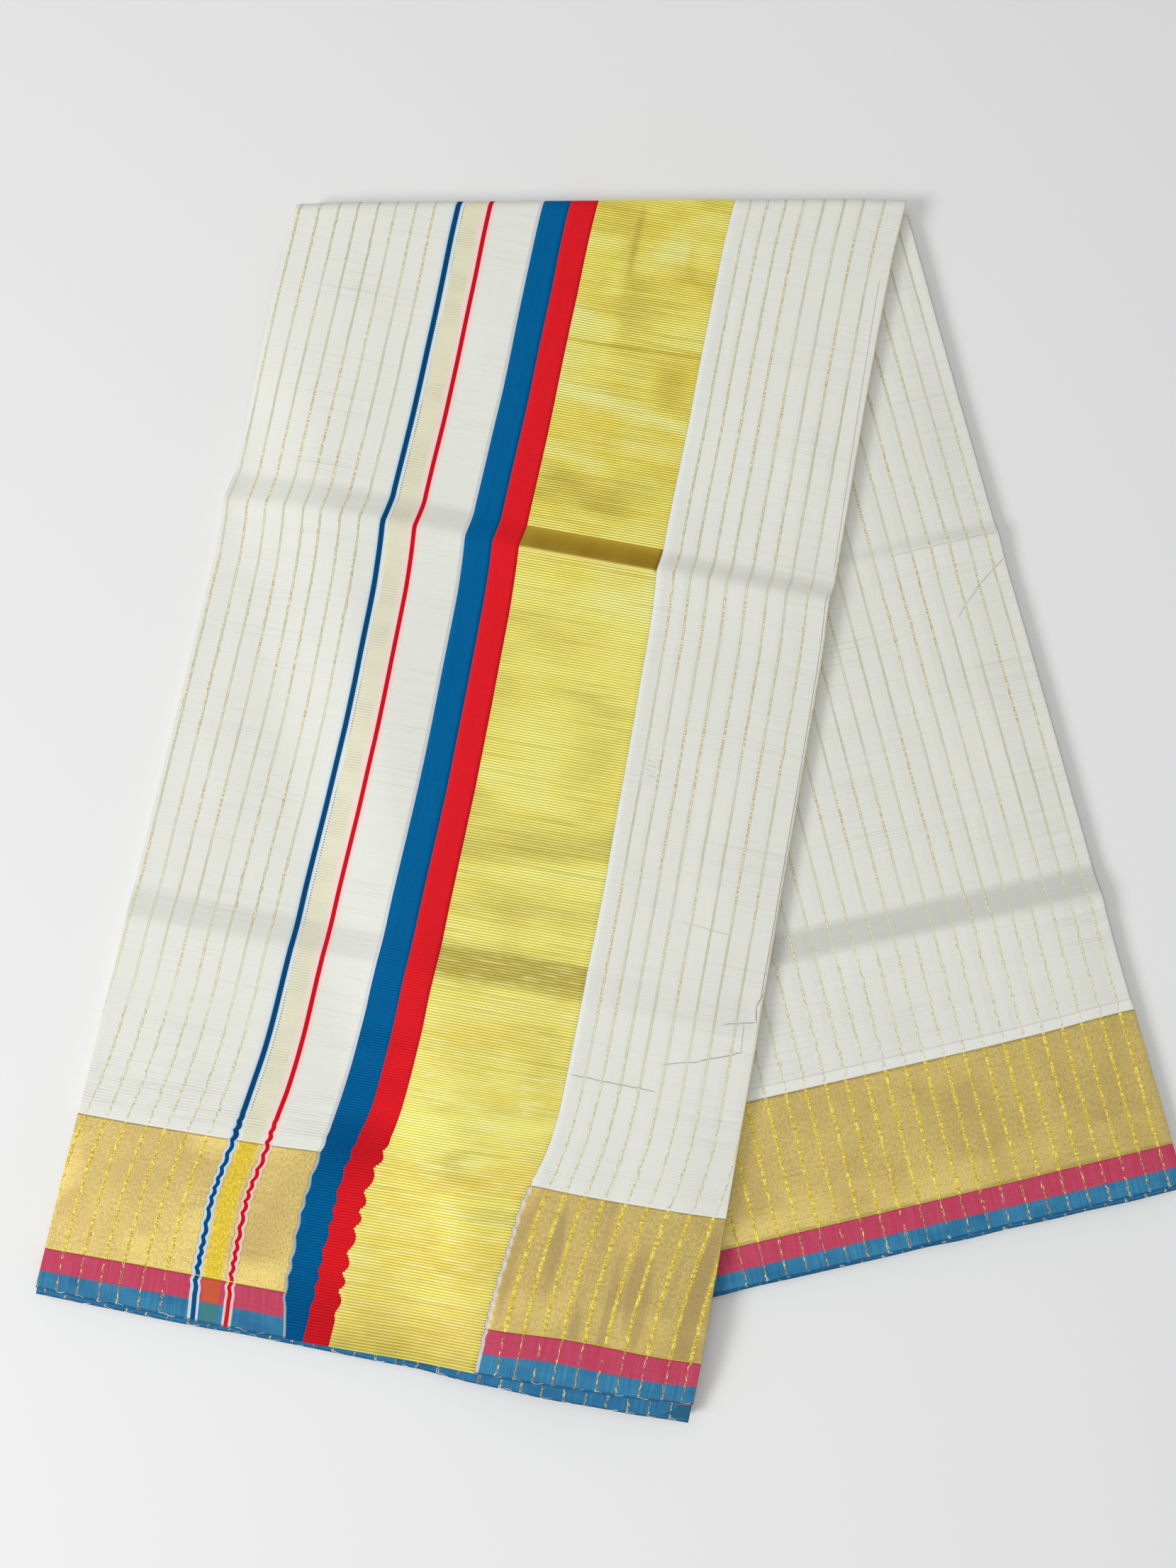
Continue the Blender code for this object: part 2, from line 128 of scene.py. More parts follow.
# How far the lines drift further up, in mm: place at the fold, then the shift each 20 mm from 85 mm above the
# selvedge
driftStart, driftStep, driftCount = 0.085, 0.020, 26
drifts = {
    0.0: [0.0] * driftCount,
    81.5: [0, 0.6, 1.1, 0.4, 0, -0.1, -0.2, 0.4, 1.2, 1.8, 2.5, 2.6, 2.2, 1.9, 1.2, 1.1, 0.9, 1.4, 1.8, 1.8,
           1.6, 1.5, 1.0, 0.3, 0, 0],
    97.7: [0, 0, 0.1, -0.4, -0.6, -0.3, 0, 0.8, 1.7, 2.1, 2.5, 2.3, 1.9, 1.6, 1.2, 1.1, 0.9, 1.2, 1.8, 1.8,
           1.7, 1.4, 1.2, 0.5, 0, 0],
    125.3: [0, 0.3, 0, -1.2, -1.6, -1.4, -1.3, -0.7, -0.2, 0.1, 0.1, -0.2, -0.6, -0.8, -1.1, -1.2, -1.6, -1.1,
            -0.8, -0.3, -0.4, -0.8, -1.0, -1.3, -1.6, -1.6],
    138.1: [0, 0.3, 0.2, -0.2, -0.5, -0.1, 0, 0.3, 0.7, 0.9, 0.6, 0.4, 0.1, -0.3, -0.6, -0.4, -0.6, -0.3, 0.1,
            0.4, 0.2, 0.1, 0.1, -0.6, -1.0, -1.0],
    152.5: [0, 0.5, 0.3, -0.4, -0.9, -0.5, -0.7, -0.5, -0.3, -0.1, -0.3, -0.5, -0.9, -1.2, -1.6, -1.4, -1.6,
            -1.2, -0.8, -0.8, -1.0, -1.0, -0.9, -1.3, -1.5, -1.5],
    220.3: [0, -0.3, -0.3, 0.9, 1.9, 2.7, 2.4, 1.7, 1.2, 0.9, 0.7, 0.5, 0.1, -0.3, -0.5, -0.6, -1.4, -1.3,
            -1.0, -0.7, -0.9, -1.0, -0.9, -1.1, -1.4, -1.4],
    300.0: [0.0] * driftCount,
}
slideStep = 0.0005
slideRows = np.arange(-0.004, 0.60, slideStep)
slideColumns = np.array(sorted(slides)) / 1000.0
driftColumns = np.array(sorted(drifts)) / 1000.0


def softened(line):
    kernel = np.exp(-0.5 * (np.arange(-24, 25) * slideStep / 0.004) ** 2)
    return np.convolve(np.pad(line, 24, mode="edge"), kernel / kernel.sum(), mode="valid")


def slideTable():
    tables = [np.array(slides[place], float).T / 1000.0 for place in sorted(slides)]
    return np.array([softened(np.interp(slideRows, at, shift)) for at, shift in tables])


def driftTable():
    at = driftStart + driftStep * np.arange(driftCount)
    return np.array([softened(np.interp(slideRows, at,
                                        np.array(drifts[place]) / 1000.0)) for place in sorted(drifts)])


slideLines, driftLines = slideTable(), driftTable()


def tableAt(columns, lines, m, row):
    column = np.clip(np.searchsorted(columns, m, side="right") - 1, 0, len(columns) - 2)
    between = np.clip((m - columns[column]) / (columns[column + 1] - columns[column]), 0.0, 1.0)
    low = row.astype(int)
    near = mixed(lines[column, low], lines[column, low + 1], row - low)
    far = mixed(lines[column + 1, low], lines[column + 1, low + 1], row - low)
    return mixed(near, far, between)


def slideAt(m, s):
    m, s = np.broadcast_arrays(np.asarray(m, float), np.asarray(s, float))
    row = np.clip((s - slideRows[0]) / slideStep, 0, len(slideRows) - 1.001)
    slid = tableAt(slideColumns, slideLines, m, row) + tableAt(driftColumns, driftLines, m, row)
    first, full, end, last = scallopZone
    share = smooth((s - first) / (full - first)) * smooth((last - s) / (last - end))
    jittered = s + 0.0011 * np.sin(s * 210.0)
    for at, reach, length, depth in scallops:
        wave = np.abs(np.sin(math.pi * jittered / length + 30.0 * at)) - 0.64
        slid = slid + depth * wave * share * np.exp(-((m - at) / reach) ** 2)
    return slid


def acrossAt(m, s):
    return m + slideAt(m, s)


# How far the border's own lines bow away from the selvedge, in mm: places across the pack, then the shifts at
# each of the heights
bows = {
    "front": ((4, 22, 46, 70, 96, 111, 150, 216, 228, 240, 252, 264, 276, 288, 300), (
        (0, 0, 0.2, 0.3, 0.3, 0.3, 0.4, 0.6, 0.6, 0.6, 0.5, 0.4, 0.2, 0, 0),
        (-0.3, 0.4, 1.0, 1.3, 1.3, 1.0, 1.2, 2.0, 2.8, 3.2, 2.4, 1.6, 0.8, 0, 0),
        (-0.8, 0.2, 1.0, 1.5, 1.5, 1.6, 1.8, 2.5, 2.8, 3.2, 2.8, 2.2, 1.3, 0.5, 0.2),
        (-2.5, -1.8, -0.8, 0, 1.0, 2.0, 3.0, 4.0, 3.0, 2.5, 2.0, 1.7, 1.4, 1.0, 0.8))),
    "back": ((0, 230, 250, 270, 285, 300), (
        (0, 0, 0, 0, 0, 0), (-0.5, 0, 0, 0.2, 0.2, 0.2), (-0.5, 0, 0.3, 0.4, 0.5, 0.5),
        (-1.6, -1.5, -1.2, -0.8, 0, 0.2))),
}
bowHeights = (0.0, 0.0080, 0.0184, 0.0820, 0.1350)
bowColumns = np.arange(-0.004, 0.3095, slideStep)


def bowTable(leg):
    at, heights = bows[leg]
    lines = [softened(np.interp(bowColumns, np.array(at) / 1000.0,
                                np.array(shifts) / 1000.0)) for shifts in heights]
    return lines + [np.zeros_like(bowColumns)]


bowLines = {leg: bowTable(leg) for leg in bows}


def bowAt(leg, u, s):
    if s >= bowHeights[-1]:
        return np.zeros_like(u)
    shifts = [np.interp(u, bowColumns, line) for line in bowLines[leg]]
    row = max(0, int(np.searchsorted(bowHeights, s)) - 1)
    return mixed(shifts[row], shifts[row + 1], (s - bowHeights[row]) / (bowHeights[row + 1] - bowHeights[row]))


def rollShare(angle):
    # The drift fades out where the cloth goes down behind the fold
    return 1.0 - smooth((angle - 1.2) / (pack["rollFaceEnd"] - 1.2))


# Relief of the upper face. Creases are left by an earlier folding: crest, rise, reach of the facet that faces
# the fold at the left edge, middle and right edge, reach towards the selvedge, and sideways jog
frontCreases = [
    {"crest": 0.388, "rise": 0.0028, "facet": (0.0165, 0.0120, 0.0090), "endSide": 0.034, "jog": -0.0018},
    {"crest": 0.175, "rise": 0.0017, "facet": (0.0170, 0.0185, 0.0160), "endSide": 0.036, "jog": 0.0},
]
backCreases = [
    {"crest": 0.325, "rise": 0.0018, "facet": (0.0080, 0.0070, 0.0060), "endSide": 0.024, "jog": 0.0},
    {"crest": 0.139, "rise": 0.0021, "facet": (0.0150, 0.0140, 0.0130), "endSide": 0.030, "jog": 0.0},
]

# Soft folds and wrinkles: from (u, v) to (u, v), width and rise, in mm
frontFolds = [
    (150, 350, 226, 342, 5.0, -0.35), (158, 362, 228, 359, 4.0, -0.30), (150, 377, 224, 393, 1.8, 0.40),
    (168, 0, 170, 95, 6.0, -0.30), (204, 14, 207, 60, 5.0, -0.25), (186, 0, 190, 130, 9.0, 0.25),
    (160, 490, 186, 545, 9.0, -0.35), (176, 425, 206, 436, 2.6, -0.25), (172, 437, 192, 441, 2.2, -0.25),
    (222, 443, 268, 452, 1.0, -0.30), (262, 440, 300, 434, 1.0, -0.30), (292, 402, 306, 440, 1.2, -0.25),
    (8, 40, 22, 140, 9.0, -0.22), (40, 30, 52, 130, 10.0, 0.25), (96, 60, 104, 150, 9.0, -0.22),
    (18, 220, 30, 330, 10.0, 0.22), (60, 210, 66, 330, 9.0, -0.22), (108, 230, 104, 330, 8.0, 0.20),
    (30, 410, 60, 500, 12.0, 0.25), (70, 470, 112, 430, 9.0, -0.25), (20, 500, 70, 530, 8.0, -0.25),
    (236, 60, 246, 180, 8.0, 0.22), (268, 40, 276, 190, 9.0, -0.22), (240, 240, 250, 380, 9.0, -0.22),
    (280, 250, 276, 370, 8.0, 0.22), (250, 460, 262, 540, 7.0, -0.30), (284, 470, 290, 560, 7.0, 0.25),
    (228, 480, 236, 560, 5.0, -0.30), (206, 250, 168, 300, 9.0, 0.25), (160, 240, 214, 262, 8.0, -0.25),
]
backFolds = [
    (304, 189, 273, 220, 1.6, -0.30), (250, 20, 262, 160, 9.0, 0.22), (284, 40, 290, 150, 8.0, -0.22),
    (238, 220, 246, 340, 9.0, -0.22), (276, 230, 284, 330, 8.0, 0.22), (200, 400, 214, 500, 8.0, -0.25),
    (256, 400, 262, 480, 7.0, 0.25), (292, 390, 296, 470, 6.0, -0.25),
]
# Where the tissue lies bright or dark to the light: from (m, s) to (m, s), width in mm, and share
tissueShine = [
    (146, 554, 174, 556, 5.0, 0.9), (176, 582, 177, 536, 1.4, -0.7), (174, 542, 208, 562, 8.0, 0.8),
    (205, 564, 207, 541, 1.3, -0.6), (171, 541, 170, 525, 4.0, 0.6), (142, 516, 180, 508, 5.5, 1.0),
    (110, 501, 262, 501, 1.2, -1.0), (130, 480, 262, 453, 4.0, 1.0), (140, 445, 190, 434, 5.0, 0.6),
    (150, 432, 206, 411, 9.0, -0.6), (110, 374, 262, 362, 8.0, 0.7), (180, 322, 262, 306, 3.0, -0.6),
    (140, 278, 172, 273, 6.0, 0.8), (110, 236, 262, 250, 9.0, -0.8), (110, 223, 262, 240, 5.0, 0.9),
    (140, 206, 262, 224, 4.5, -0.5), (110, 200, 262, 200, 5.0, 0.5), (110, 194, 262, 192, 1.3, 1.0),
    (110, 182.5, 262, 188, 7.5, -1.0), (110, 162, 262, 170, 9.0, 0.6), (110, 109, 262, 120, 4.0, -0.5),
    (182, 95, 189, 72, 5.0, -0.6), (178, 65, 240, 68, 3.5, -0.6), (184, 39, 240, 43, 5.0, -0.5),
    (174, 90, 182, 66, 6.0, -0.5), (180, 60, 190, 48, 5.0, -0.7),
]
shineNoise = [(0.013, 0.008, 0.34, 41), (0.030, 0.030, 0.42, 43)]
unevenness = {
    "front": [(0.062, 0.090, 0.00024, 3), (0.019, 0.034, 0.00009, 5), (0.008, 0.011, 0.00004, 7)],
    "back": [(0.055, 0.085, 0.00024, 11), (0.018, 0.036, 0.00009, 13), (0.008, 0.011, 0.00004, 17)],
}


def creaseShares(crease, u, s):
    d = s - crease["crest"]
    left, middle, right = crease["facet"]
    facet = np.interp(u, (0.0, 0.5 * pack["width"], pack["width"]), (left, middle, right))
    facetShare = np.clip(1.0 - d / facet, 0.0, 1.0) ** 1.12
    endShare = np.clip(1.0 + d / crease["endSide"], 0.0, 1.0) ** 1.7
    return np.where(d > 0.0, facetShare, endShare)


def foldsAt(folds, u, v, curving=0.06):
    lift = np.zeros_like(u)
    for au, av, bu, bv, width, rise in folds:
        ax, ay, bx, by = au / 1000.0, av / 1000.0, bu / 1000.0, bv / 1000.0
        length = math.hypot(bx - ax, by - ay)
        dx, dy = (bx - ax) / length, (by - ay) / length
        along = ((u - ax) * dx + (v - ay) * dy) / length
        bend = curving * length * np.sin(math.pi * np.clip(along, 0.0, 1.0) * 1.7 + au)
        side = (u - ax) * -dy + (v - ay) * dx - bend
        fade = smooth(along / 0.25) * smooth((1.0 - along) / 0.25)
        lift += rise / 1000.0 * np.exp(-(side / (width / 1000.0)) ** 2) * fade
    return lift


def shineAt(m, s):
    placed = 1000.0 * foldsAt(tissueShine, m, s, 0.008)
    return placed + sum(share * latticeNoise(m / across + 9.0, s / along + 9.0, seed)
                        for across, along, share, seed in shineNoise)


def unevenAt(leg, u, v):
    return sum(rise * latticeNoise(u / across + 20.0, v / along + 20.0, seed)
               for across, along, rise, seed in unevenness[leg])


def crownAt(u):
    edge = np.minimum(u, pack["width"] - u)
    return -pack["crownDrop"] * (1.0 - smooth(edge / pack["crownWidth"]))


def frontRelief(u, v, s):
    lift = sum(crease["rise"] * creaseShares(crease, u, s) for crease in frontCreases)
    return lift + crownAt(u) + foldsAt(frontFolds, u, v) + unevenAt("front", u, v) * smooth(v / 0.03)


def backRelief(u, v, s):
    lift = sum(crease["rise"] * creaseShares(crease, u, s) for crease in backCreases)
    return lift + foldsAt(backFolds, u, v) + unevenAt("back", u, v)


# Places on the legs. h is the height from the middle plane between the legs, 0 to the leg's thickness

def restHeight(x, y, v):
    cosFront = math.cos(pack["frontLean"])
    cosBack, sinBack = math.cos(pack["backLean"]), math.sin(pack["backLean"])
    backV = -y / cosBack
    backU = (x - pack["backShift"] - backV * sinBack) * cosFront
    beside = np.maximum(-backU, 0.0)
    beyond = np.maximum(backV - backEnd(np.clip(backU, 0.0, pack["width"])), 0.0)
    away = (np.hypot(beside, beyond) - pack["rampClear"]) / pack["ramp"]
    return (pack["legThickness"] + pack["legGap"]) * (1.0 - smooth(away) * smooth(v / pack["rampStart"]))


def stacked(x, y, z):
    x, y, z = np.broadcast_arrays(x, y, z)
    return np.stack([x - pack["middle"][0], y - pack["middle"][1], z], axis=-1)


def frontPoint(u, v, h):
    s = frontEnd(u) - v
    cosFront, sinFront = math.cos(pack["frontLean"]), math.sin(pack["frontLean"])
    jog = sum(crease["jog"] * creaseShares(crease, u, s) for crease in frontCreases)
    flare = pack["flare"] * (u / pack["width"]) * np.exp(-v / pack["flareLength"])
    x = (u + jog + flare) / cosFront - v * sinFront
    y = -v * cosFront
    lift = frontRelief(u, v, s) * np.minimum(1.0, np.maximum(h, 0.0) / pack["coreTop"])
    return stacked(x, y, restHeight(x, y, v) + h + lift)


def rollPoint(u, angle, h):
    flare = pack["flare"] * (u / pack["width"]) * (1.0 - smooth(angle / math.pi))
    x = (u + flare) / math.cos(pack["frontLean"]) + pack["backShift"] * angle / math.pi
    relief = crownAt(u) + foldsAt(frontFolds, u, np.zeros_like(u))
    lift = relief * np.minimum(1.0, h / pack["coreTop"]) * (1.0 - angle / math.pi)
    r = pack["legGap"] / 2 + h + lift
    return stacked(x, r * np.sin(angle), pack["rollMiddle"] + r * np.cos(angle))


def backPoint(u, v, h):
    cosFront, sinFront = math.cos(pack["frontLean"]), math.sin(pack["frontLean"])
    x = u / cosFront + pack["backShift"] + v * math.sin(pack["backLean"])
    y = -v * math.cos(pack["backLean"])
    frontV = -y / cosFront
    beside = (x + frontV * sinFront) * cosFront - pack["width"]
    beyond = frontV - frontEnd(np.clip(u, 0.0, pack["width"]))
    shown = smooth((np.maximum(beside, beyond) - pack["backClear"]) / pack["backFade"])
    lift = backRelief(u, v, backEnd(u) - v) * shown + crownAt(u) * smooth(v / pack["backCrownFade"])
    share = np.clip((pack["coreTop"] - h) / (pack["coreTop"] - 0.0009), 0.0, 1.0)
    return stacked(x, y, pack["legThickness"] - h + lift * share)


def legPoint(row, u, h):
    # A row is a leg or the roll, a distance from the selvedge or an angle, and a share of the way from the
    # fold. It gives the points and how far they are from the selvedge.
    leg, at, share = row
    if leg == "roll":
        return rollPoint(u, at, h), frontEnd(u) + pack["rollMiddle"] * at
    nearEnd = 1.0 - smooth((at - pack["peekFade"][0]) / (pack["peekFade"][1] - pack["peekFade"][0]))
    end, peek, point = (frontEnd, frontPeek, frontPoint) if leg == "front" else (backEnd, backPeek, backPoint)
    v = (end(u) - at - bowAt(leg, u, at) - peek(u) * nearEnd) * share
    return point(u, v, h), np.where(share < 1.0, end(u) - v, at)


# Meshes

def meshObject(name, points, faces, uv=None, values=None):
    mesh = bpy.data.meshes.new(name)
    mesh.from_pydata(np.asarray(points, float).tolist(), [], np.asarray(faces).tolist())
    if uv is not None:
        index = np.empty(len(mesh.loops), int)
        mesh.loops.foreach_get("vertex_index", index)
        layer = mesh.uv_layers.new(name="UVMap")
        layer.data.foreach_set("uv", np.asarray(uv, np.float32)[index].ravel())
    for label, data in (values or {}).items():
        mesh.attributes.new(label, "FLOAT", "POINT").data.foreach_set("value", np.asarray(data, np.float32))
    mesh.update()
    mesh.shade_smooth()
    made = bpy.data.objects.new(name, mesh)
    bpy.context.scene.collection.objects.link(made)
    return made


def gridFaces(rows, columns, flip=False):
    k, j = np.meshgrid(np.arange(rows - 1), np.arange(columns - 1), indexing="ij")
    a = (k * columns + j).ravel()
    quads = np.stack([a, a + 1, a + columns + 1, a + columns], axis=1)
    return quads[:, ::-1] if flip else quads


def gridObject(name, points, uv, finish, values=None):
    # A sheet from rows of points, each with its woven places
    faces = gridFaces(len(points), len(points[0]))
    made = meshObject(name, np.concatenate(points), faces, np.concatenate(uv), values)
    made.data.materials.append(finishes[finish])
    return made


def steps(low, high, size):
    return np.linspace(low, high, max(1, round(abs(high - low) / size)) + 1)


def plain(made):
    # The object with its modifiers made into its mesh
    graph = bpy.context.evaluated_depsgraph_get()
    final = made.evaluated_get(graph)
    mesh = bpy.data.meshes.new_from_object(final, preserve_all_data_layers=True, depsgraph=graph)
    made.modifiers.clear()
    made.data = mesh
    return made


# Colours as the eye sees them, from 0 to 255
colours = {
    "cotton": (237, 238, 229), "cottonShade": (214, 215, 207), "weftGrey": (184, 182, 174),
    "weftWhite": (250, 251, 247), "closeWeave": (243, 245, 240), "greyLine": (176, 178, 174),
    "bareWhite": (250, 252, 255), "soiled": (186, 187, 180), "wrinkle": (118, 116, 110),
    "tick": (120, 120, 104), "stitch": (58, 78, 92),
    "paleBlue": (196, 226, 242), "thinBlue": (0, 70, 118), "cream": (234, 231, 196),
    "creamWarm": (236, 229, 200), "palePink": (250, 222, 214), "thinRed": (208, 14, 34),
    "blueHalo": (204, 220, 230), "redHalo": (232, 208, 200),
    "lineBlue": (0, 76, 132), "lineRed": (206, 18, 34),
    "band blue": (0, 98, 154), "blueDark": (0, 58, 112), "blueLight": (20, 112, 172),
    "band red": (229, 30, 40), "redDark": (150, 8, 20), "redLight": (232, 36, 48), "bandSeam": (150, 70, 112),
    "stripeDense": (208, 198, 174), "stripePale": (224, 217, 198), "stripeLow": (242, 234, 200),
    "stripeEdge": (186, 174, 146), "crinkle": (206, 190, 146), "crinkleBright": (252, 242, 194),
    "crinkleDark": (164, 144, 106),
    "tan": (202, 178, 102), "tanBright": (240, 222, 146), "tanDark": (152, 124, 58),
    "tanBack": (212, 188, 108), "tanWorn": (190, 162, 98), "tanLit": (244, 220, 128),
    "tanThread": (168, 142, 80), "tanBand": (168, 142, 92),
    "yellow": (212, 182, 34), "yellowBright": (246, 226, 80), "yellowDark": (176, 142, 22),
    "zari": (206, 168, 52), "zariBright": (244, 218, 82),
    "zariGlint": (255, 246, 150), "bareWarp": (206, 202, 204),
    "pink": (197, 66, 96), "pinkPale": (206, 104, 126), "selvedge": (50, 126, 168),
    "selvedgePale": (96, 160, 196), "selvedgeDark": (12, 84, 134), "selvedgeDeep": (8, 84, 134),
    "orange": (208, 92, 62), "sea": (70, 130, 138), "seam": (120, 96, 128), "turnedEdge": (10, 62, 106),
    "tissue": (255, 246, 116), "tissueBright": (255, 254, 156), "tissueDark": (192, 172, 44),
    "tissueBrown": (218, 170, 56), "tissueWarm": (248, 232, 92), "tissueShade": (172, 154, 40),
    "tissueOrange": (244, 206, 72), "tissueLit": (255, 252, 176), "tissueEnd": (176, 172, 60),
    "gapHigh": (186, 166, 96), "gapLow": (218, 202, 132), "facetLight": (200, 176, 66),
    "layerGap": (150, 146, 138), "layerTint": (222, 214, 200), "threadBright": (255, 244, 120),
    "threadMid": (242, 218, 70), "threadDark": (204, 170, 52), "tickBright": (250, 232, 150),
    "tickMid": (214, 180, 96), "tickDark": (160, 116, 76), "tickGap": (186, 150, 140),
    "glintBright": (255, 250, 212), "glintMid": (242, 232, 194), "glintDark": (218, 204, 164),
    "edgeBright": (222, 226, 222), "edgeMid": (160, 182, 194), "edgeDark": (60, 104, 138),
}


def srgb(rgb):
    return tuple(c / 255 / 12.92 if c <= 10 else ((c / 255 + 0.055) / 1.055) ** 2.4 for c in rgb) + (1.0,)


tones = {name: srgb(rgb) for name, rgb in colours.items()}


def toned(colour):
    return tones[colour] if isinstance(colour, str) else colour


# Shader and geometry node helpers

class Bench:
    def __init__(self, tree):
        self.tree = tree

    def put(self, socket, value):
        if isinstance(value, bpy.types.NodeSocket):
            self.tree.links.new(value, socket)
        elif value is not None:
            socket.default_value = value

    def node(self, kind, sockets=None, **settings):
        made = self.tree.nodes.new(kind)
        for key, value in settings.items():
            setattr(made, key, value)
        for key, value in (sockets or {}).items():
            self.put(made.inputs[key], value)
        return made

    def math(self, operation, a, b=None, c=None):
        return self.node("ShaderNodeMath", {0: a, 1: b, 2: c}, operation=operation).outputs[0]

    def times(self, a, b):
        return self.math("MULTIPLY", a, b)

    def away(self, a, b):
        return self.math("ABSOLUTE", self.math("SUBTRACT", a, b))

    def wave(self, value, pitch):
        return self.math("SINE", self.times(value, 2.0 * math.pi / pitch))

    def vector(self, operation, a, b=None):
        return self.node("ShaderNodeVectorMath", {0: a, 1: b}, operation=operation).outputs[0]

    def spread(self, value, low, high, toLow=0.0, toHigh=1.0):
        return self.node("ShaderNodeMapRange", {0: value, 1: low, 2: high, 3: toLow, 4: toHigh}).outputs[0]

    def between(self, value, low, high, soft=0.0003):
        rise = self.spread(value, low - soft, low + soft)
        return self.times(rise, self.spread(value, high - soft, high + soft, 1.0, 0.0))

    def noise(self, place, scale, detail=2.0, roughness=0.5, offset=(0.0, 0.0, 0.0)):
        moved = self.node("ShaderNodeMapping",
                          {"Vector": place, "Location": offset, "Scale": scale}).outputs[0]
        sockets = {"Vector": moved, "Scale": 1.0, "Detail": detail, "Roughness": roughness}
        return self.node("ShaderNodeTexNoise", sockets).outputs[0]

    def mixColour(self, factor, a, b, blend="MIX"):
        made = self.node("ShaderNodeMix", data_type="RGBA", blend_type=blend)
        given = {"Factor_Float": factor, "A_Color": toned(a), "B_Color": toned(b)}
        for socket in made.inputs:
            self.put(socket, given.get(socket.identifier))
        return next(o for o in made.outputs if o.identifier == "Result_Color")

    def ramp(self, value, stops):
        # A colour for each place from the first to the last of the stops
        low, high = stops[0][0], stops[-1][0]
        made = self.node("ShaderNodeValToRGB", {0: self.spread(value, low, high)})
        elements = made.color_ramp.elements
        elements.remove(elements[-1])
        marks = [((at - low) / (high - low), toned(tone)) for at, tone in stops]
        elements[0].position, elements[0].color = marks[0]
        for position, colour in marks[1:]:
            elements.new(position).color = colour
        return made.outputs[0]

    def group(self, name, place, **sockets):
        made = self.tree.nodes.new("ShaderNodeGroup")
        made.node_tree = groups[name]
        for key, value in {"Place": place, **sockets}.items():
            self.put(made.inputs[key], value)
        return made.outputs


def newSockets(tree, direction, sockets):
    for label, kind, *value in sockets:
        socket = tree.interface.new_socket(name=label, in_out=direction, socket_type="NodeSocket" + kind)
        if value:
            socket.default_value = value[0]


def groupTree(name, inputs, outputs):
    tree = bpy.data.node_groups.new(name, "ShaderNodeTree")
    newSockets(tree, "INPUT", [("Place", "Vector"), *inputs])
    newSockets(tree, "OUTPUT", [(label, "Float") for label in outputs])
    bench = Bench(tree)
    return tree, bench, bench.node("NodeGroupInput").outputs, bench.node("NodeGroupOutput").inputs


def yarnGroup():
    # Fine plain weave with uneven yarns: height and tone
    tree, bench, given, out = groupTree("yarns", [("Pitch", "Float", 0.0005)], ["Height", "Tone"])
    fine = bench.math("DIVIDE", 2.0 * math.pi, given["Pitch"])
    split = bench.node("ShaderNodeSeparateXYZ", {0: given["Place"]}).outputs
    across = bench.math("SINE", bench.times(split[0], fine))
    along = bench.math("SINE", bench.times(split[1], fine))
    warp = bench.noise(given["Place"], (1900.0, 90.0, 1.0), 1.0)
    weft = bench.noise(given["Place"], (70.0, 2100.0, 1.0), 1.0, offset=(3.0, 7.0, 0.0))
    slubs = bench.math("ADD", warp, weft)
    bench.put(out["Height"], bench.math("MULTIPLY_ADD", bench.times(across, along), 0.25, slubs))
    bench.put(out["Tone"], bench.spread(slubs, 0.7, 1.3, -1.0, 1.0))
    return tree


def weftLineGroup():
    # Sparse thin lines across the cloth, in patches: grey where a yarn lies open, white where it is tight
    tree, bench, given, out = groupTree("weftLines", [("Amount", "Float", 0.5)], ["Dark", "Light"])
    low = bench.math("SUBTRACT", 0.78, bench.times(given["Amount"], 0.5))
    for label, lines, patches, seed in (("Dark", (12.0, 2300.0, 1.0), (14.0, 34.0, 1.0), 2.0),
                                        ("Light", (22.0, 1700.0, 1.0), (16.0, 22.0, 1.0), 6.0)):
        found = bench.spread(bench.noise(given["Place"], lines, 0.0, offset=(0.0, seed, 0.0)), 0.62, 0.74)
        where = bench.noise(given["Place"], patches, 2.0, offset=(5.0, seed + 1.0, 0.0))
        where = bench.spread(where, low, bench.math("ADD", low, 0.14))
        bench.put(out[label], bench.times(found, where))
    return tree


def glitterGroup():
    # Metal thread that catches the light in flecks: bright and dark masks and a height
    inputs = [("Fineness", "Float", 1500.0), ("Stretch", "Float", 1.0)]
    tree, bench, given, out = groupTree("zariGlitter", inputs, ["Bright", "Dark", "Height"])
    split = bench.node("ShaderNodeSeparateXYZ", {0: given["Place"]}).outputs
    x = bench.times(split[0], given["Fineness"])
    y = bench.times(bench.times(split[1], given["Fineness"]), given["Stretch"])
    flecks = bench.node("ShaderNodeCombineXYZ", {0: x, 1: y}).outputs[0]
    first = bench.node("ShaderNodeTexNoise", {"Vector": flecks, "Scale": 1.0, "Detail": 2.0}).outputs[0]
    coarse = bench.node("ShaderNodeTexNoise", {"Vector": flecks, "Scale": 0.31, "Detail": 1.0}).outputs[0]
    both = bench.math("MULTIPLY_ADD", coarse, 0.45, bench.times(first, 0.55))
    bench.put(out["Bright"], bench.spread(both, 0.52, 0.68))
    bench.put(out["Dark"], bench.spread(both, 0.34, 0.47, 1.0, 0.0))
    bench.put(out["Height"], first)
    return tree


groups = {"yarns": yarnGroup(), "weftLines": weftLineGroup(), "glitter": glitterGroup()}


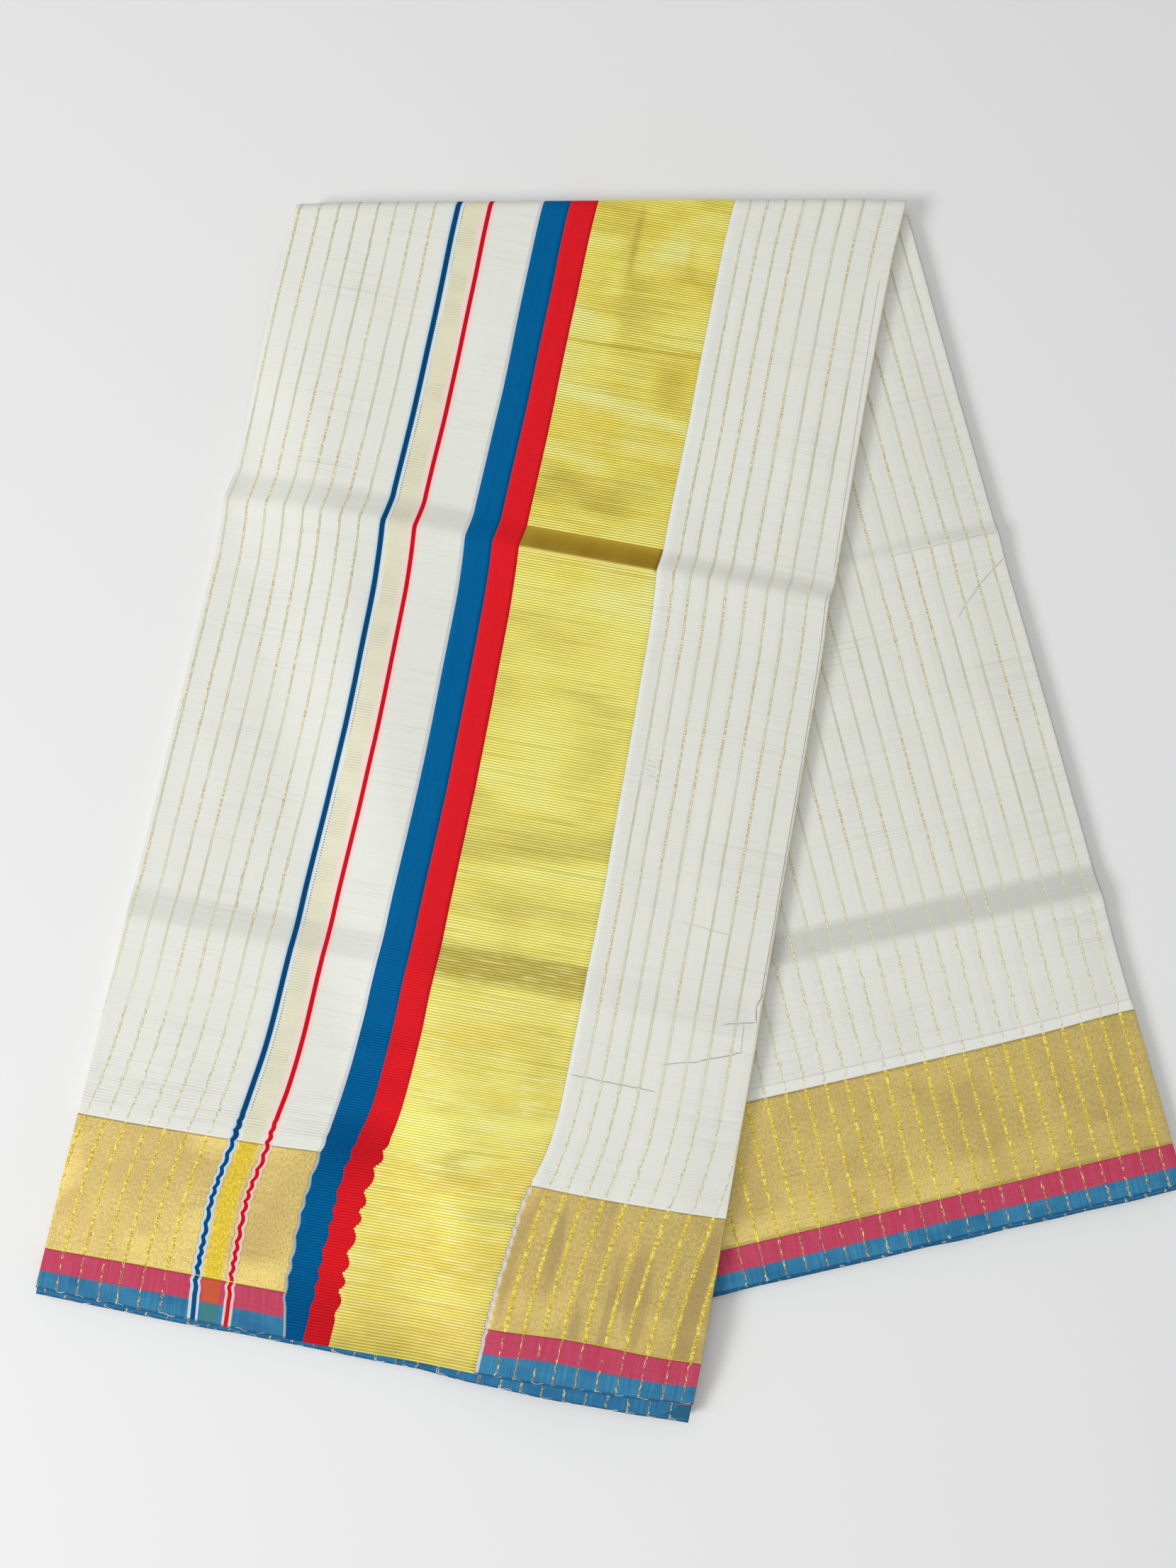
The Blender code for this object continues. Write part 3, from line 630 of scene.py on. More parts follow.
class Finish:
    # A material on the woven places m and s. Its shader is outside the groups, its colour is laid in coats.
    def __init__(self, name, roughness, metallic=0.0, sheen=0.0, attribute=None, specular=0.18):
        self.material = bpy.data.materials.new(name)
        self.material.use_nodes = True
        self.bench = Bench(self.material.node_tree)
        self.shader = self.material.node_tree.nodes["Principled BSDF"]
        self.shader.inputs["Roughness"].default_value = roughness
        self.shader.inputs["Metallic"].default_value = metallic
        self.shader.inputs["Sheen Weight"].default_value = sheen
        self.shader.inputs["Specular IOR Level"].default_value = 0.5 if metallic else specular
        if attribute:
            self.place = self.bench.node("ShaderNodeAttribute", attribute_name=attribute).outputs["Vector"]
        else:
            self.place = self.bench.node("ShaderNodeUVMap", uv_map="UVMap").outputs[0]
        split = self.bench.node("ShaderNodeSeparateXYZ", {0: self.place}).outputs
        self.m, self.s, self.shine = split[0], split[1], split[2]

    def noise(self, scale, detail=2.0, roughness=0.5, offset=(0.0, 0.0)):
        return self.bench.noise(self.place, (*scale, 1.0), detail, roughness, (*offset, 0.0))

    def patchy(self, scale, low, high, detail=2.0, offset=(0.0, 0.0), to=(0.0, 1.0), roughness=0.5):
        # A mask that comes and goes in patches of this scale
        return self.bench.spread(self.noise(scale, detail, roughness, offset), low, high, *to)

    def across(self, low, high, soft=0.0003):
        return self.bench.between(self.m, low, high, soft)

    def along(self, low, high, soft=0.0003):
        return self.bench.between(self.s, low, high, soft)

    def coat(self, share, tone, strength=None, blend="MIX"):
        share = share if strength is None else self.bench.times(share, strength)
        self.tone = self.bench.mixColour(share, self.tone, tone, blend)

    def shade(self, socket, value):
        self.bench.put(self.shader.inputs[socket], value)

    def finished(self, height, distance, strength=1.0):
        # With its colour and with bumps of this height
        self.shade("Base Color", self.tone)
        bump = self.bench.node("ShaderNodeBump",
                               {"Height": height, "Distance": distance, "Strength": strength})
        self.shade("Normal", bump.outputs[0])
        return self.material

    def tint(self, tone, low, high):
        # The colour made lighter and darker by a tone from -1 to 1
        shade = self.bench.spread(tone, -1.0, 1.0, low, high)
        grey = self.bench.node("ShaderNodeCombineColor", {0: shade, 1: shade, 2: shade}).outputs[0]
        self.coat(1.0, grey, blend="MULTIPLY")


# Places across the end piece of what is woven between the thin lines
lineAt = {
    "creamTicks": (0.0852, 0.0936), "stitches": (0.0842, 0.0850), "yellow": (0.0848, 0.0931),
    "white": (0.1243, 0.1256), "blue": (0.0803, 0.0827), "red": (0.0966, 0.0988),
    "blueInBorder": (0.0805, 0.0824), "redInBorder": (0.0967, 0.0987), "bareWarp": (0.2190, 0.2217),
    "blueHalo": (0.0794, 0.0836), "redHalo": (0.0955, 0.1000), "lastHalo": (0.1242, 0.1261),
    "blueMatt": (0.0790, 0.0838), "redMatt": (0.0950, 0.1004), "lastMatt": (0.1240, 0.1262),
}
# The thin blue and red lines and the cream strip on cotton, with halos that fade outwards
lineStops = [
    (0.0770, "cotton"), (0.0784, "cotton"), (0.0798, "paleBlue"), (0.0804, "thinBlue"), (0.0826, "thinBlue"),
    (0.0830, "paleBlue"), (0.0838, "cotton"), (0.0848, "cotton"), (0.0852, "cream"), (0.0888, "creamWarm"),
    (0.0908, "cream"), (0.0934, "cream"), (0.0948, "palePink"), (0.0963, "palePink"), (0.0967, "thinRed"),
    (0.0987, "thinRed"), (0.0991, "palePink"), (0.1002, "palePink"), (0.1012, "cotton"), (0.1236, "cotton"),
    (0.1242, "paleBlue"), (0.1254, "paleBlue"), (0.1270, "paleBlue"),
]


def ticks(finish):
    # Short dark lines across the cream strip, in clusters
    bench = finish.bench
    thin = bench.spread(bench.wave(finish.s, 0.00125), 0.65, 1.0)
    clusters = finish.patchy((20.0, 60.0), 0.45, 0.60, 1.0, (4.0, 4.0))
    return bench.times(finish.across(*lineAt["creamTicks"], 0.0002), bench.times(thin, clusters))


def stitches(finish):
    # A dotted line of dark stitches that comes and goes
    bench = finish.bench
    uneven = finish.patchy((8.0, 26.0), 0.42, 0.60, offset=(9.0, 9.0))
    dots = bench.times(bench.spread(bench.wave(finish.s, 0.0013), 0.1, 0.5), uneven)
    return bench.times(finish.across(*lineAt["stitches"], 0.0001), dots)


def repeating(bench, m, first, pitch):
    # How far m is on its way to the next place, from 0 to 1
    return bench.math("FRACT", bench.math("DIVIDE", bench.math("SUBTRACT", m, first), pitch))


def stripeDistance(finish, places, pitch=None):
    # Distance across the end piece to the nearest metal-thread stripe
    bench = finish.bench
    sway = bench.math("MULTIPLY_ADD", finish.noise((6.0, 110.0)), 0.0006, -0.0003)
    m = bench.math("ADD", finish.m, sway)
    if pitch:
        return bench.times(bench.away(repeating(bench, m, places[0] - 0.5 * pitch, pitch), 0.5), pitch)
    nearest = bench.away(m, places[0])
    for place in places[1:]:
        nearest = bench.math("MINIMUM", nearest, bench.away(m, place))
    return nearest


def fieldStripes(finish, distance):
    # Along a stripe of the field it lies smooth and pale between thin edges, dense and brownish, or crinkled
    bench = finish.bench
    kind = finish.noise((38.0, 18.0), 1.0, offset=(2.0, 5.0))
    fine = finish.noise((700.0, 1300.0), 1.0, 0.6)
    inside = bench.mixColour(bench.spread(kind, 0.38, 0.52), "stripeDense", "stripePale")
    # Where crinkled, the bright flecks are painted glints
    crinkled = bench.mixColour(bench.spread(fine, 0.48, 0.58), "crinkle", "crinkleBright")
    crinkled = bench.mixColour(bench.spread(fine, 0.34, 0.40, 0.8, 0.0), crinkled, "crinkleDark")
    inside = bench.mixColour(bench.spread(kind, 0.50, 0.58), inside, crinkled)
    inside = bench.mixColour(bench.spread(finish.s, 0.20, 0.12, 0.0, 0.65), inside, "stripeLow")
    low = bench.times(bench.spread(finish.s, 0.0860, 0.0900), bench.spread(finish.s, 0.10, 0.16, 0.6, 1.0))
    ragged = bench.math("MULTIPLY_ADD", bench.spread(fine, 0.3, 0.7), 0.0003, distance)
    finish.coat(bench.times(bench.spread(ragged, 0.00057, 0.00080, 0.85, 0.0), low), inside)
    edges = bench.times(bench.between(distance, 0.00041, 0.00059, 0.00010), low)
    edges = bench.times(edges, bench.spread(finish.s, 0.10, 0.16, 0.35, 1.0))
    finish.coat(bench.times(edges, finish.patchy((60.0, 300.0), 0.35, 0.65, to=(0.25, 0.9))), "stripeEdge")


def borderStripes(finish, distance, reach, glitter):
    # In the border the stripes are wider and crinkled bright
    bench = finish.bench
    coarse = finish.noise((900.0, 1100.0), 1.0, 0.6, (3.0, 1.0))
    ragged = bench.math("MULTIPLY_ADD", bench.spread(coarse, 0.32, 0.68, 1.0, 0.0), 0.0008, distance)
    bright = bench.mixColour(bench.spread(coarse, 0.44, 0.56), "zari", "zariBright")
    bright = bench.mixColour(glitter["Bright"], bright, "zariGlint")
    finish.coat(bench.spread(ragged, reach, reach + 0.0003, 0.9, 0.0), bright)


def paintedShadeLines(finish, marks):
    # Painted shade drawn as thin dark lines, for fine wrinkles and along the cloth's edges: from (m, s) to (m,
    # s), width in mm, and share
    bench = finish.bench
    bent = bench.math("SUBTRACT", finish.noise((120.0, 120.0)), 0.5)
    found = 0.0
    for am, at, bm, bt, width, share in marks:
        length = math.hypot(bm - am, bt - at)
        dx, dy = (bm - am) / length, (bt - at) / length
        m, s = bench.math("SUBTRACT", finish.m, am / 1000.0), bench.math("SUBTRACT", finish.s, at / 1000.0)
        along = bench.math("MULTIPLY_ADD", m, dx, bench.times(s, dy))
        bends = bench.times(bent, 0.0018 if 8.0 < length < 60.0 else 0.0004)
        side = bench.math("MULTIPLY_ADD", m, -dy, bench.math("MULTIPLY_ADD", s, dx, bends))
        thin = bench.spread(bench.math("ABSOLUTE", side), width / 3000.0, width / 1000.0, share, 0.0)
        thin = bench.times(thin, bench.between(along, 0.0, length / 1000.0, 0.0015))
        found = bench.math("MAXIMUM", thin, found)
    return found


def cottonFinish(name, lined=False, stripes=(), pitch=None, showThrough=0.0, showPitch=0.00964,
                 closeLines=0.55, soiled=(), marks=(), paleStrip=0.0):
    finish = Finish(name, 0.85, specular=0.08)
    bench = finish.bench
    finish.tone = bench.ramp(finish.m, lineStops) if lined else "cotton"
    yarns = bench.group("yarns", finish.place, Pitch=0.00055)
    if lined:
        finish.coat(ticks(finish), "tick", 0.50)
        finish.coat(stitches(finish), "stitch")
    if showThrough:
        phase = repeating(bench, finish.m, showThrough, showPitch)
        band = bench.times(bench.spread(phase, 0.50, 0.60), bench.spread(phase, 0.88, 0.96, 1.0, 0.0))
        finish.coat(bench.times(band, finish.patchy((14.0, 12.0), 0.35, 0.70)), "cottonShade", 0.30)
    finish.coat(finish.patchy((210.0, 7.0), 0.30, 0.75, 3.0, (1.0, 4.0)), "cottonShade", 0.10)
    finish.coat(finish.patchy((18.0, 15.0), 0.35, 0.75, 3.0, (8.0, 2.0)), "cottonShade", 0.12)
    # Painted shade: the cotton is darker below about 0.4 m from the selvedge
    finish.coat(bench.spread(finish.s, 0.45, 0.38, 0.0, 0.16), "cottonShade")
    weft = bench.group("weftLines", finish.place, Amount=0.75)
    clear = bench.spread(finish.s, 0.0855, 0.0885)
    finish.coat(bench.times(weft["Dark"], clear), "weftGrey", 0.27)
    finish.coat(weft["Light"], "weftWhite", 0.22)
    # Open lines lie close together just above the border
    bent = bench.math("MULTIPLY_ADD", finish.noise((40.0, 90.0), 1.0), 0.0022, finish.s)
    close = bench.spread(bench.wave(bent, 0.00136), 0.45, 0.95)
    close = bench.times(close, bench.times(clear, bench.spread(finish.s, 0.098, 0.122, 1.0, 0.0)))
    finish.coat(bench.times(close, finish.patchy((55.0, 240.0), 0.36, 0.60)), "weftGrey", closeLines)
    # Painted shade in bands along the creases
    for low, high, share in soiled:
        finish.coat(finish.along(low, high, 0.0022), "soiled", share)
    if marks:
        # Painted shade of wrinkles and edges, as thin dark lines
        finish.coat(paintedShadeLines(finish, marks), "wrinkle")
    if stripes:
        fieldStripes(finish, stripeDistance(finish, stripes, pitch))
    if paleStrip:
        # The first few millimetres above the border are woven closer, with a thin grey line at their top
        finish.coat(finish.along(0.0815, paleStrip, 0.0006), "closeWeave", 0.34)
        finish.coat(finish.along(paleStrip, paleStrip + 0.0005), "greyLine", 0.45)
    if lined:
        finish.coat(finish.across(*lineAt["white"], 0.0002), "bareWhite")
        finish.coat(finish.across(*lineAt["blue"], 0.0001), "thinBlue")
        finish.coat(finish.across(*lineAt["red"], 0.0001), "thinRed")
    finish.tint(yarns["Tone"], 0.985, 1.012)
    return finish.finished(yarns["Height"], 0.00006, 0.5)


def haloLines(finish):
    # The thin lines go on through the border and the selvedge between pale halos
    bench = finish.bench
    wide = bench.math("ADD", finish.across(*lineAt["blueHalo"], 0.0002), finish.across(*lineAt["lastHalo"]))
    finish.coat(bench.math("MINIMUM", wide, 1.0), "blueHalo")
    finish.coat(finish.across(*lineAt["redHalo"], 0.0002), "redHalo")
    finish.coat(finish.across(*lineAt["blueInBorder"], 0.0001), "lineBlue")
    finish.coat(finish.across(*lineAt["redInBorder"], 0.0001), "lineRed")


def whiteStrip(finish):
    # Bare warp beside the tissue, from the border to the selvedge
    finish.coat(finish.across(*lineAt["bareWarp"], 0.0002), "bareWarp")


def goldFinish(name, tone, stripes, reach, pitch=None, lined=False, banded=False):
    # Tan metal-thread ground of the border, brighter between the thin lines
    roughness, metallic = 0.46, 0.38
    finish = Finish(name, roughness, metallic)
    bench = finish.bench
    finish.tone = tone
    glitter = bench.group("glitter", finish.place, Fineness=2700.0, Stretch=0.8)
    # Darker in large patches, with fewer glints there
    dimPatches = finish.patchy((34.0, 24.0), 0.42, 0.66, 3.0, (2.0, 6.0))
    glint = bench.times(glitter["Bright"], bench.spread(dimPatches, 0.0, 1.0, 1.0, 0.35))
    finish.coat(dimPatches, "tanWorn", 0.6)
    finish.coat(finish.patchy((17.0, 26.0), 0.50, 0.68, 2.0, (7.0, 1.0)), "tanLit", 0.6)
    finish.coat(finish.patchy((60.0, 1500.0), 0.52, 0.70, 2.0, (4.0, 4.0), (0.0, 0.35), 0.6), "tanThread")
    if banded:
        bands = finish.patchy((95.0, 13.0), 0.54, 0.64, 1.0, (1.0, 3.0))
        finish.coat(bands, "tanBand", 0.55)
        glint = bench.times(glint, bench.spread(bands, 0.0, 1.0, 1.0, 0.25))
    finish.coat(glint, "tanBright", 0.8)
    finish.coat(glitter["Dark"], "tanDark", 0.55)
    borderStripes(finish, stripeDistance(finish, stripes, pitch), reach, glitter)
    if lined:
        bright = bench.mixColour(glitter["Bright"], "yellow", "yellowBright")
        finish.coat(finish.across(*lineAt["yellow"]), bench.mixColour(glitter["Dark"], bright, "yellowDark"))
        haloLines(finish)
        matt = bench.math("ADD", finish.across(*lineAt["blueMatt"]), finish.across(*lineAt["redMatt"]))
        matt = bench.math("MINIMUM", bench.math("ADD", matt, finish.across(*lineAt["lastMatt"])), 1.0)
        finish.shade("Specular IOR Level", bench.spread(matt, 0.0, 1.0, 0.5, 0.05))
        finish.shade("Metallic", bench.spread(matt, 0.0, 1.0, metallic, 0.0))
        finish.shade("Roughness", bench.spread(matt, 0.0, 1.0, roughness, 0.85))
    finish.coat(finish.along(0.0178, 0.0189, 0.0002), "yellowBright", 0.6)
    if banded:
        whiteStrip(finish)
        finish.shade("Metallic", bench.spread(finish.m, 0.2215, 0.2219, 0.0, metallic))
    return finish.finished(glitter["Height"], 0.00018, 0.8)


def selvedgeFinish(name, lined=False, underShade=False, besideTissue=False):
    # Pink-red stripe above and blue edge below
    finish = Finish(name, 0.72, specular=0.10)
    bench = finish.bench
    yarns = bench.group("yarns", finish.place, Pitch=0.0005)
    streak = finish.patchy((700.0, 40.0), 0.35, 0.75)
    pink = bench.mixColour(bench.times(streak, 0.35), "pink", "pinkPale")
    blue = bench.mixColour(bench.times(streak, 0.45), "selvedge", "selvedgePale")
    dim = finish.patchy((40.0, 90.0), 0.40, 0.70, 2.0, (4.0, 0.0))
    blue = bench.mixColour(bench.times(dim, 0.45), blue, "selvedgeDark")
    # Painted shade: the next layer down is darker, in the shade of the top layer
    if underShade:
        blue = bench.mixColour(0.30, blue, "selvedgeDeep")
    if lined:
        strip = finish.across(*lineAt["yellow"])
        pink = bench.mixColour(strip, pink, "orange")
        blue = bench.mixColour(strip, blue, "sea")
    seam = weave["blueSelvedge"]
    finish.tone = bench.mixColour(bench.spread(finish.s, seam - 0.0003, seam + 0.0003), blue, pink)
    finish.coat(finish.along(seam - 0.0004, seam + 0.0002, 0.0002), "seam", 0.5)
    if lined:
        haloLines(finish)
    if besideTissue:
        whiteStrip(finish)
    # Painted shade along the very edge of the selvedge, between the layers
    finish.coat(bench.spread(finish.s, 0.0004, 0.0011, 1.0, 0.0), "turnedEdge", 0.6)
    finish.tint(yarns["Tone"], 0.88, 1.08)
    return finish.finished(yarns["Height"], 0.00005, 0.5)


def bandFinish(name, tone, dark, light, seam=None, attribute=None):
    finish = Finish(name, 0.70, attribute=attribute, specular=0.04)
    bench = finish.bench
    yarns = bench.group("yarns", finish.place, Pitch=0.0005)
    finish.tone = tone
    finish.coat(finish.patchy((500.0, 14.0), 0.35, 0.75), light, 0.22)
    wave = bench.wave(finish.s, 0.00124)
    # Painted shade in the grooves between the ribs, strongest near the selvedge
    finish.coat(bench.times(bench.spread(wave, 0.2, 1.0), bench.spread(finish.s, 0.14, 0.26, 0.45, 0.06)),
                dark)
    if seam:
        ragged = bench.math("MULTIPLY_ADD", finish.noise((1.0, 900.0), 1.0), 0.0010, seam)
        finish.coat(bench.math("LESS_THAN", finish.m, ragged), "bandSeam", 0.6)
    finish.tint(yarns["Tone"], 0.93, 1.05)
    return finish.finished(bench.math("MULTIPLY_ADD", wave, -0.20, yarns["Height"]), 0.00006, 0.6)


# The pressed facet of the upper crease has no ribs and lies in painted shade, with a painted highlight just
# below its crest: distances from the selvedge and colours
facetStops = [(0.3850, (255, 246, 160)), (0.3868, (255, 246, 160)), (0.3876, (224, 200, 80)),
              (0.3886, (152, 118, 0)), (0.3950, (168, 134, 6)), (0.4000, (190, 158, 32))]


def tissueFinish(name, attribute=None, base=False):
    # Each rib has its own tone, in slow patches of painted light and shade, and between the ribs there is
    # painted shade
    finish = Finish(name, 0.40, 0.15, attribute=attribute)
    bench = finish.bench
    shine = bench.node("ShaderNodeAttribute", attribute_name="shine").outputs["Fac"] if base else finish.shine
    # The shine lies in the third value of the ribs' places, so the noise here leaves it out
    single = bench.noise(finish.place, (18.0, 640.0, 0.0), 1.0, 0.5, offset=(3.0, 9.0, 0.0))
    patches = bench.noise(finish.place, (20.0, 34.0, 0.0), 3.0, 0.6, offset=(3.0, 9.0, 0.0))
    fine = bench.noise(finish.place, (60.0, 640.0, 0.0), 2.0, 0.6, offset=(13.0, 2.0, 0.0))
    finish.tone = bench.mixColour(bench.spread(patches, 0.38, 0.62), "tissueWarm", "tissue")
    # Painted highlight and shade from the shine, and more painted highlight below the upper crease
    finish.coat(bench.spread(shine, 0.0, 0.9), "tissueBright")
    finish.coat(bench.spread(shine, -1.0, 0.0, 0.75, 0.0), "tissueDark")
    finish.coat(bench.spread(finish.s, 0.40, 0.34, 0.0, 0.35), "tissueBright")
    finish.coat(bench.spread(single, 0.54, 0.74, 0.0, 0.30), "tissueBright")
    finish.coat(bench.spread(single, 0.28, 0.44, 0.34, 0.0), "tissueDark")
    finish.coat(finish.along(0.1765, 0.1925, 0.0020), "tissueShade", 0.42)
    warm = bench.times(bench.spread(finish.s, 0.20, 0.12, 0.0, 0.30),
                       bench.spread(patches, 0.40, 0.60, 1.0, 0.0))
    finish.coat(warm, "tissueOrange")
    lit = bench.times(bench.spread(fine, 0.50, 0.66), bench.spread(finish.s, 0.24, 0.14, 0.15, 0.6))
    finish.coat(lit, "tissueLit")
    brown = bench.times(bench.spread(finish.s, 0.045, 0.0), bench.spread(patches, 0.46, 0.60))
    finish.coat(brown, "tissueBrown", 0.5)
    finish.coat(bench.spread(finish.s, 0.012, 0.002), "tissueEnd", 0.35)
    if base:
        # Painted shade between the ribs, darker towards the fold
        ribShade = bench.mixColour(bench.spread(finish.s, 0.385, 0.34), "gapHigh", "gapLow")
        finish.coat(1.0, ribShade, blend="MULTIPLY")
        facet = bench.ramp(finish.s, [(at, srgb(rgb)) for at, rgb in facetStops])
        facet = bench.mixColour(finish.patchy((60.0, 22.0), 0.45, 0.75, to=(0.0, 0.35)), facet, "facetLight")
        finish.coat(finish.along(0.3862, 0.4003), facet)
    return finish.finished(single, 0.00008, 0.5)


def stripeFinish(name, tone, gap, gapShare, fineness, metallic):
    # Crinkled metal thread in short dashes, with its bright, middle and dark tones
    finish = Finish(name, 0.42, metallic, 0.0, "place")
    bench = finish.bench
    dashes = finish.noise((160.0, fineness), 1.0, 0.6)
    finish.tone = bench.mixColour(bench.spread(dashes, 0.42, 0.58), tone + "Dark", tone + "Mid")
    # On the metal threads the bright patches are painted glints
    finish.coat(finish.patchy((90.0, fineness * 0.45), 0.50, 0.60, 1.0, (11.0, 3.0)), tone + "Bright")
    low = 0.62 - 0.3 * gapShare
    covered = finish.patchy((70.0, fineness * 0.62), low, low + 0.08, 1.0, (5.0, 8.0))
    finish.coat(covered, gap)
    finish.shade("Metallic", bench.spread(covered, 0.0, 1.0, metallic, 0.0))
    return finish.finished(dashes, 0.0002, 0.8)


def layersFinish(name):
    # Edges of the hidden layers, by their distance from the selvedge
    finish = Finish(name, 0.85, 0.0, 0.1)
    bench = finish.bench
    marks = [(-0.004, "selvedge"), (0.0078, "selvedge"), (0.0082, "pink"), (0.0182, "pink"), (0.0186, "tan"),
             (0.0818, "tan"), (0.0822, "cotton"), (0.096, "cotton")]
    finish.tone = bench.ramp(finish.s, marks)
    level = bench.node("ShaderNodeAttribute", attribute_name="level").outputs["Fac"]
    # Painted shade in the grooves between the layers' rounded edges
    turn = bench.math("FRACT", level)
    dark = bench.math("ADD", bench.spread(turn, 0.0, 0.16, 1.0, 0.0), bench.spread(turn, 0.84, 1.0))
    finish.coat(dark, "layerGap", 0.55, "MULTIPLY")
    whole = bench.math("FLOOR", level)
    layer = bench.node("ShaderNodeCombineXYZ", {0: finish.m, 1: finish.s, 2: whole}).outputs[0]
    tint = bench.noise(layer, (30.0, 30.0, 3.1), 2.0)
    finish.coat(bench.spread(tint, 0.40, 0.65, 0.0, 0.60), "layerTint", blend="MULTIPLY")
    yarns = bench.group("yarns", finish.place, Pitch=0.0006)
    return finish.finished(yarns["Height"], 0.00005, 0.5)


# Places of the metal-thread stripes across the end piece
zari = {
    "left": [0.0027, 0.0127, 0.0224, 0.0320, 0.0420, 0.0509, 0.0609, 0.0702],
    "right": [0.2286, 0.2368, 0.2457, 0.2546, 0.2646, 0.2746, 0.2839, 0.2942, 0.3049, 0.3142],
    "backFirst": 0.0954, "backPitch": 0.00964, "backCount": 22,
}
backPlaces = [zari["backFirst"] + zari["backPitch"] * k for k in range(zari["backCount"])]

# Thin dark lines of painted shade for wrinkles and along the right edges, in mm. The right side of the front
# leg lies a little inside the layer below it, with a ruffle.
shadeLines = {
    "right": [(222.5, 142.0, 262.0, 141.4, 0.45, 0.55), (264.0, 154.6, 280.0, 159.2, 0.35, 0.6),
              (280.0, 159.2, 298.5, 166.7, 0.35, 0.7), (298.5, 166.7, 297.7, 179.1, 0.35, 0.5),
              (288.8, 178.1, 303.2, 181.8, 0.35, 0.6), (303.4, 181.8, 302.4, 188.5, 0.45, 0.7),
              (302.4, 188.5, 304.6, 195.5, 0.45, 0.7), (260.0, 221.3, 284.0, 219.5, 0.45, 0.25),
              (229.0, 295.0, 233.6, 294.2, 0.30, 0.40), (230.2, 292.6, 235.0, 291.6, 0.30, 0.45),
              (229.4, 290.2, 233.8, 289.6, 0.30, 0.35), (231.0, 288.0, 235.4, 286.8, 0.30, 0.45),
              (230.0, 285.2, 234.0, 284.6, 0.30, 0.30), (303.7, 194.0, 303.7, 300.0, 0.30, 0.75),
              (303.7, 298.0, 303.2, 392.0, 0.30, 0.65), (303.3, 404.0, 300.5, 560.0, 0.30, 0.5)],
    "back": [(304.0, 312.0, 289.0, 301.5, 0.35, 0.5), (289.0, 301.5, 273.0, 287.0, 0.40, 0.4),
             (250.0, 324.5, 304.0, 325.5, 0.35, 0.3), (304.5, 84.0, 304.5, 500.0, 0.45, 0.55)],
}
# Painted shade along the creases: from and to this far from the selvedge, and share
creaseShadeAt = {"left": [(0.3905, 0.4020, 0.18), (0.1770, 0.1900, 0.22)], "right": [(0.3900, 0.3985, 0.18)],
            "back": [(0.1405, 0.1545, 0.50), (0.3255, 0.3310, 0.22)]}
blueTones = ("band blue", "blueDark", "blueLight", None)
redTones = ("band red", "redDark", "redLight", weave["redBand"])

print("stage: materials")
finishes = {
    "cottonLined": cottonFinish("cottonWithLines", True, zari["left"], soiled=creaseShadeAt["left"]),
    "cottonRight": cottonFinish("cottonRight", False, zari["right"], showThrough=0.2286, showPitch=0.00955,
                                closeLines=0.22, soiled=creaseShadeAt["right"], marks=shadeLines["right"]),
    "cottonBack": cottonFinish("cottonBack", False, backPlaces, zari["backPitch"],
                               showThrough=zari["backFirst"],
                               closeLines=0.06, soiled=creaseShadeAt["back"], marks=shadeLines["back"],
                               paleStrip=0.0868),
    "cottonUnder": cottonFinish("cottonUnder", lined=True),
    "goldLined": goldFinish("goldBorderWithLines", "tan", zari["left"], 0.00075, lined=True),
    "goldRight": goldFinish("goldBorderBanded", "tan", zari["right"], 0.00095, banded=True),
    # Painted light: the back leg's border has a lighter tan than the front's
    "gold": goldFinish("goldBorder", "tanBack", backPlaces, 0.00082, zari["backPitch"]),
    "selvedgeLined": selvedgeFinish("selvedgeWithLines", lined=True),
    "selvedge": selvedgeFinish("selvedgeStripes"),
    "selvedgeRight": selvedgeFinish("selvedgeBesideTissue", besideTissue=True),
    "blue": bandFinish("blueBand", *blueTones),
    "red": bandFinish("redBand", *redTones),
    "blueRib": bandFinish("blueRib", *blueTones, "place"),
    "redRib": bandFinish("redRib", *redTones, "place"),
    "tissueBase": tissueFinish("tissueGround", base=True),
    "tissueRib": tissueFinish("tissueRib", "place"),
    "borderStripe": stripeFinish("borderZari", "thread", "tan", 0.10, 1300.0, 0.15),
    "selvedgeTick": stripeFinish("selvedgeZari", "tick", "tickGap", 0.30, 900.0, 0.35),
    "glint": stripeFinish("fieldGlints", "glint", "cotton", 0.30, 1300.0, 0.0),
    "edgeThread": stripeFinish("edgeThread", "edge", "selvedge", 0.2, 400.0, 0.3),
    "layers": layersFinish("layerEdges"),
    "secondLayer": selvedgeFinish("secondLayer", underShade=True),
}

# The cloth's stretches. rows: spacing along the cloth in the field and in the border
clothMaking = {"thickness": 0.00034, "fieldStep": 0.0026, "borderStep": 0.00090, "edgeStep": 0.0010,
               "backBorderStep": 0.0020, "columnStep": 0.0024, "fieldFrom": 0.100, "edgeRadius": 0.00043,
               "tuck": 0.006, "topRows": 64, "rollSteps": 12, "frontTop": 0.4200, "backTop": 0.3600}


def legRows(leg, low, high, size):
    return [(leg, s, 1.0) for s in steps(low, high, size)]


def rollRows():
    return [("roll", a, 1.0) for a in np.linspace(0.0, pack["rollFaceEnd"], clothMaking["rollSteps"] + 1)[1:]]


def fieldRows(leg, low):
    # Up to the last row that the whole width shares, then by shares to the fold, and round it on the front leg
    top, first = clothMaking[leg + "Top"], clothMaking["fieldFrom"]
    rows = legRows(leg, low, first, clothMaking["borderStep"]) + legRows(leg, first, top,
                                                                         clothMaking["fieldStep"])[1:]
    rows += [(leg, top, 1.0 - k / clothMaking["topRows"]) for k in range(1, clothMaking["topRows"] + 1)]
    return rows + rollRows() if leg == "front" else rows


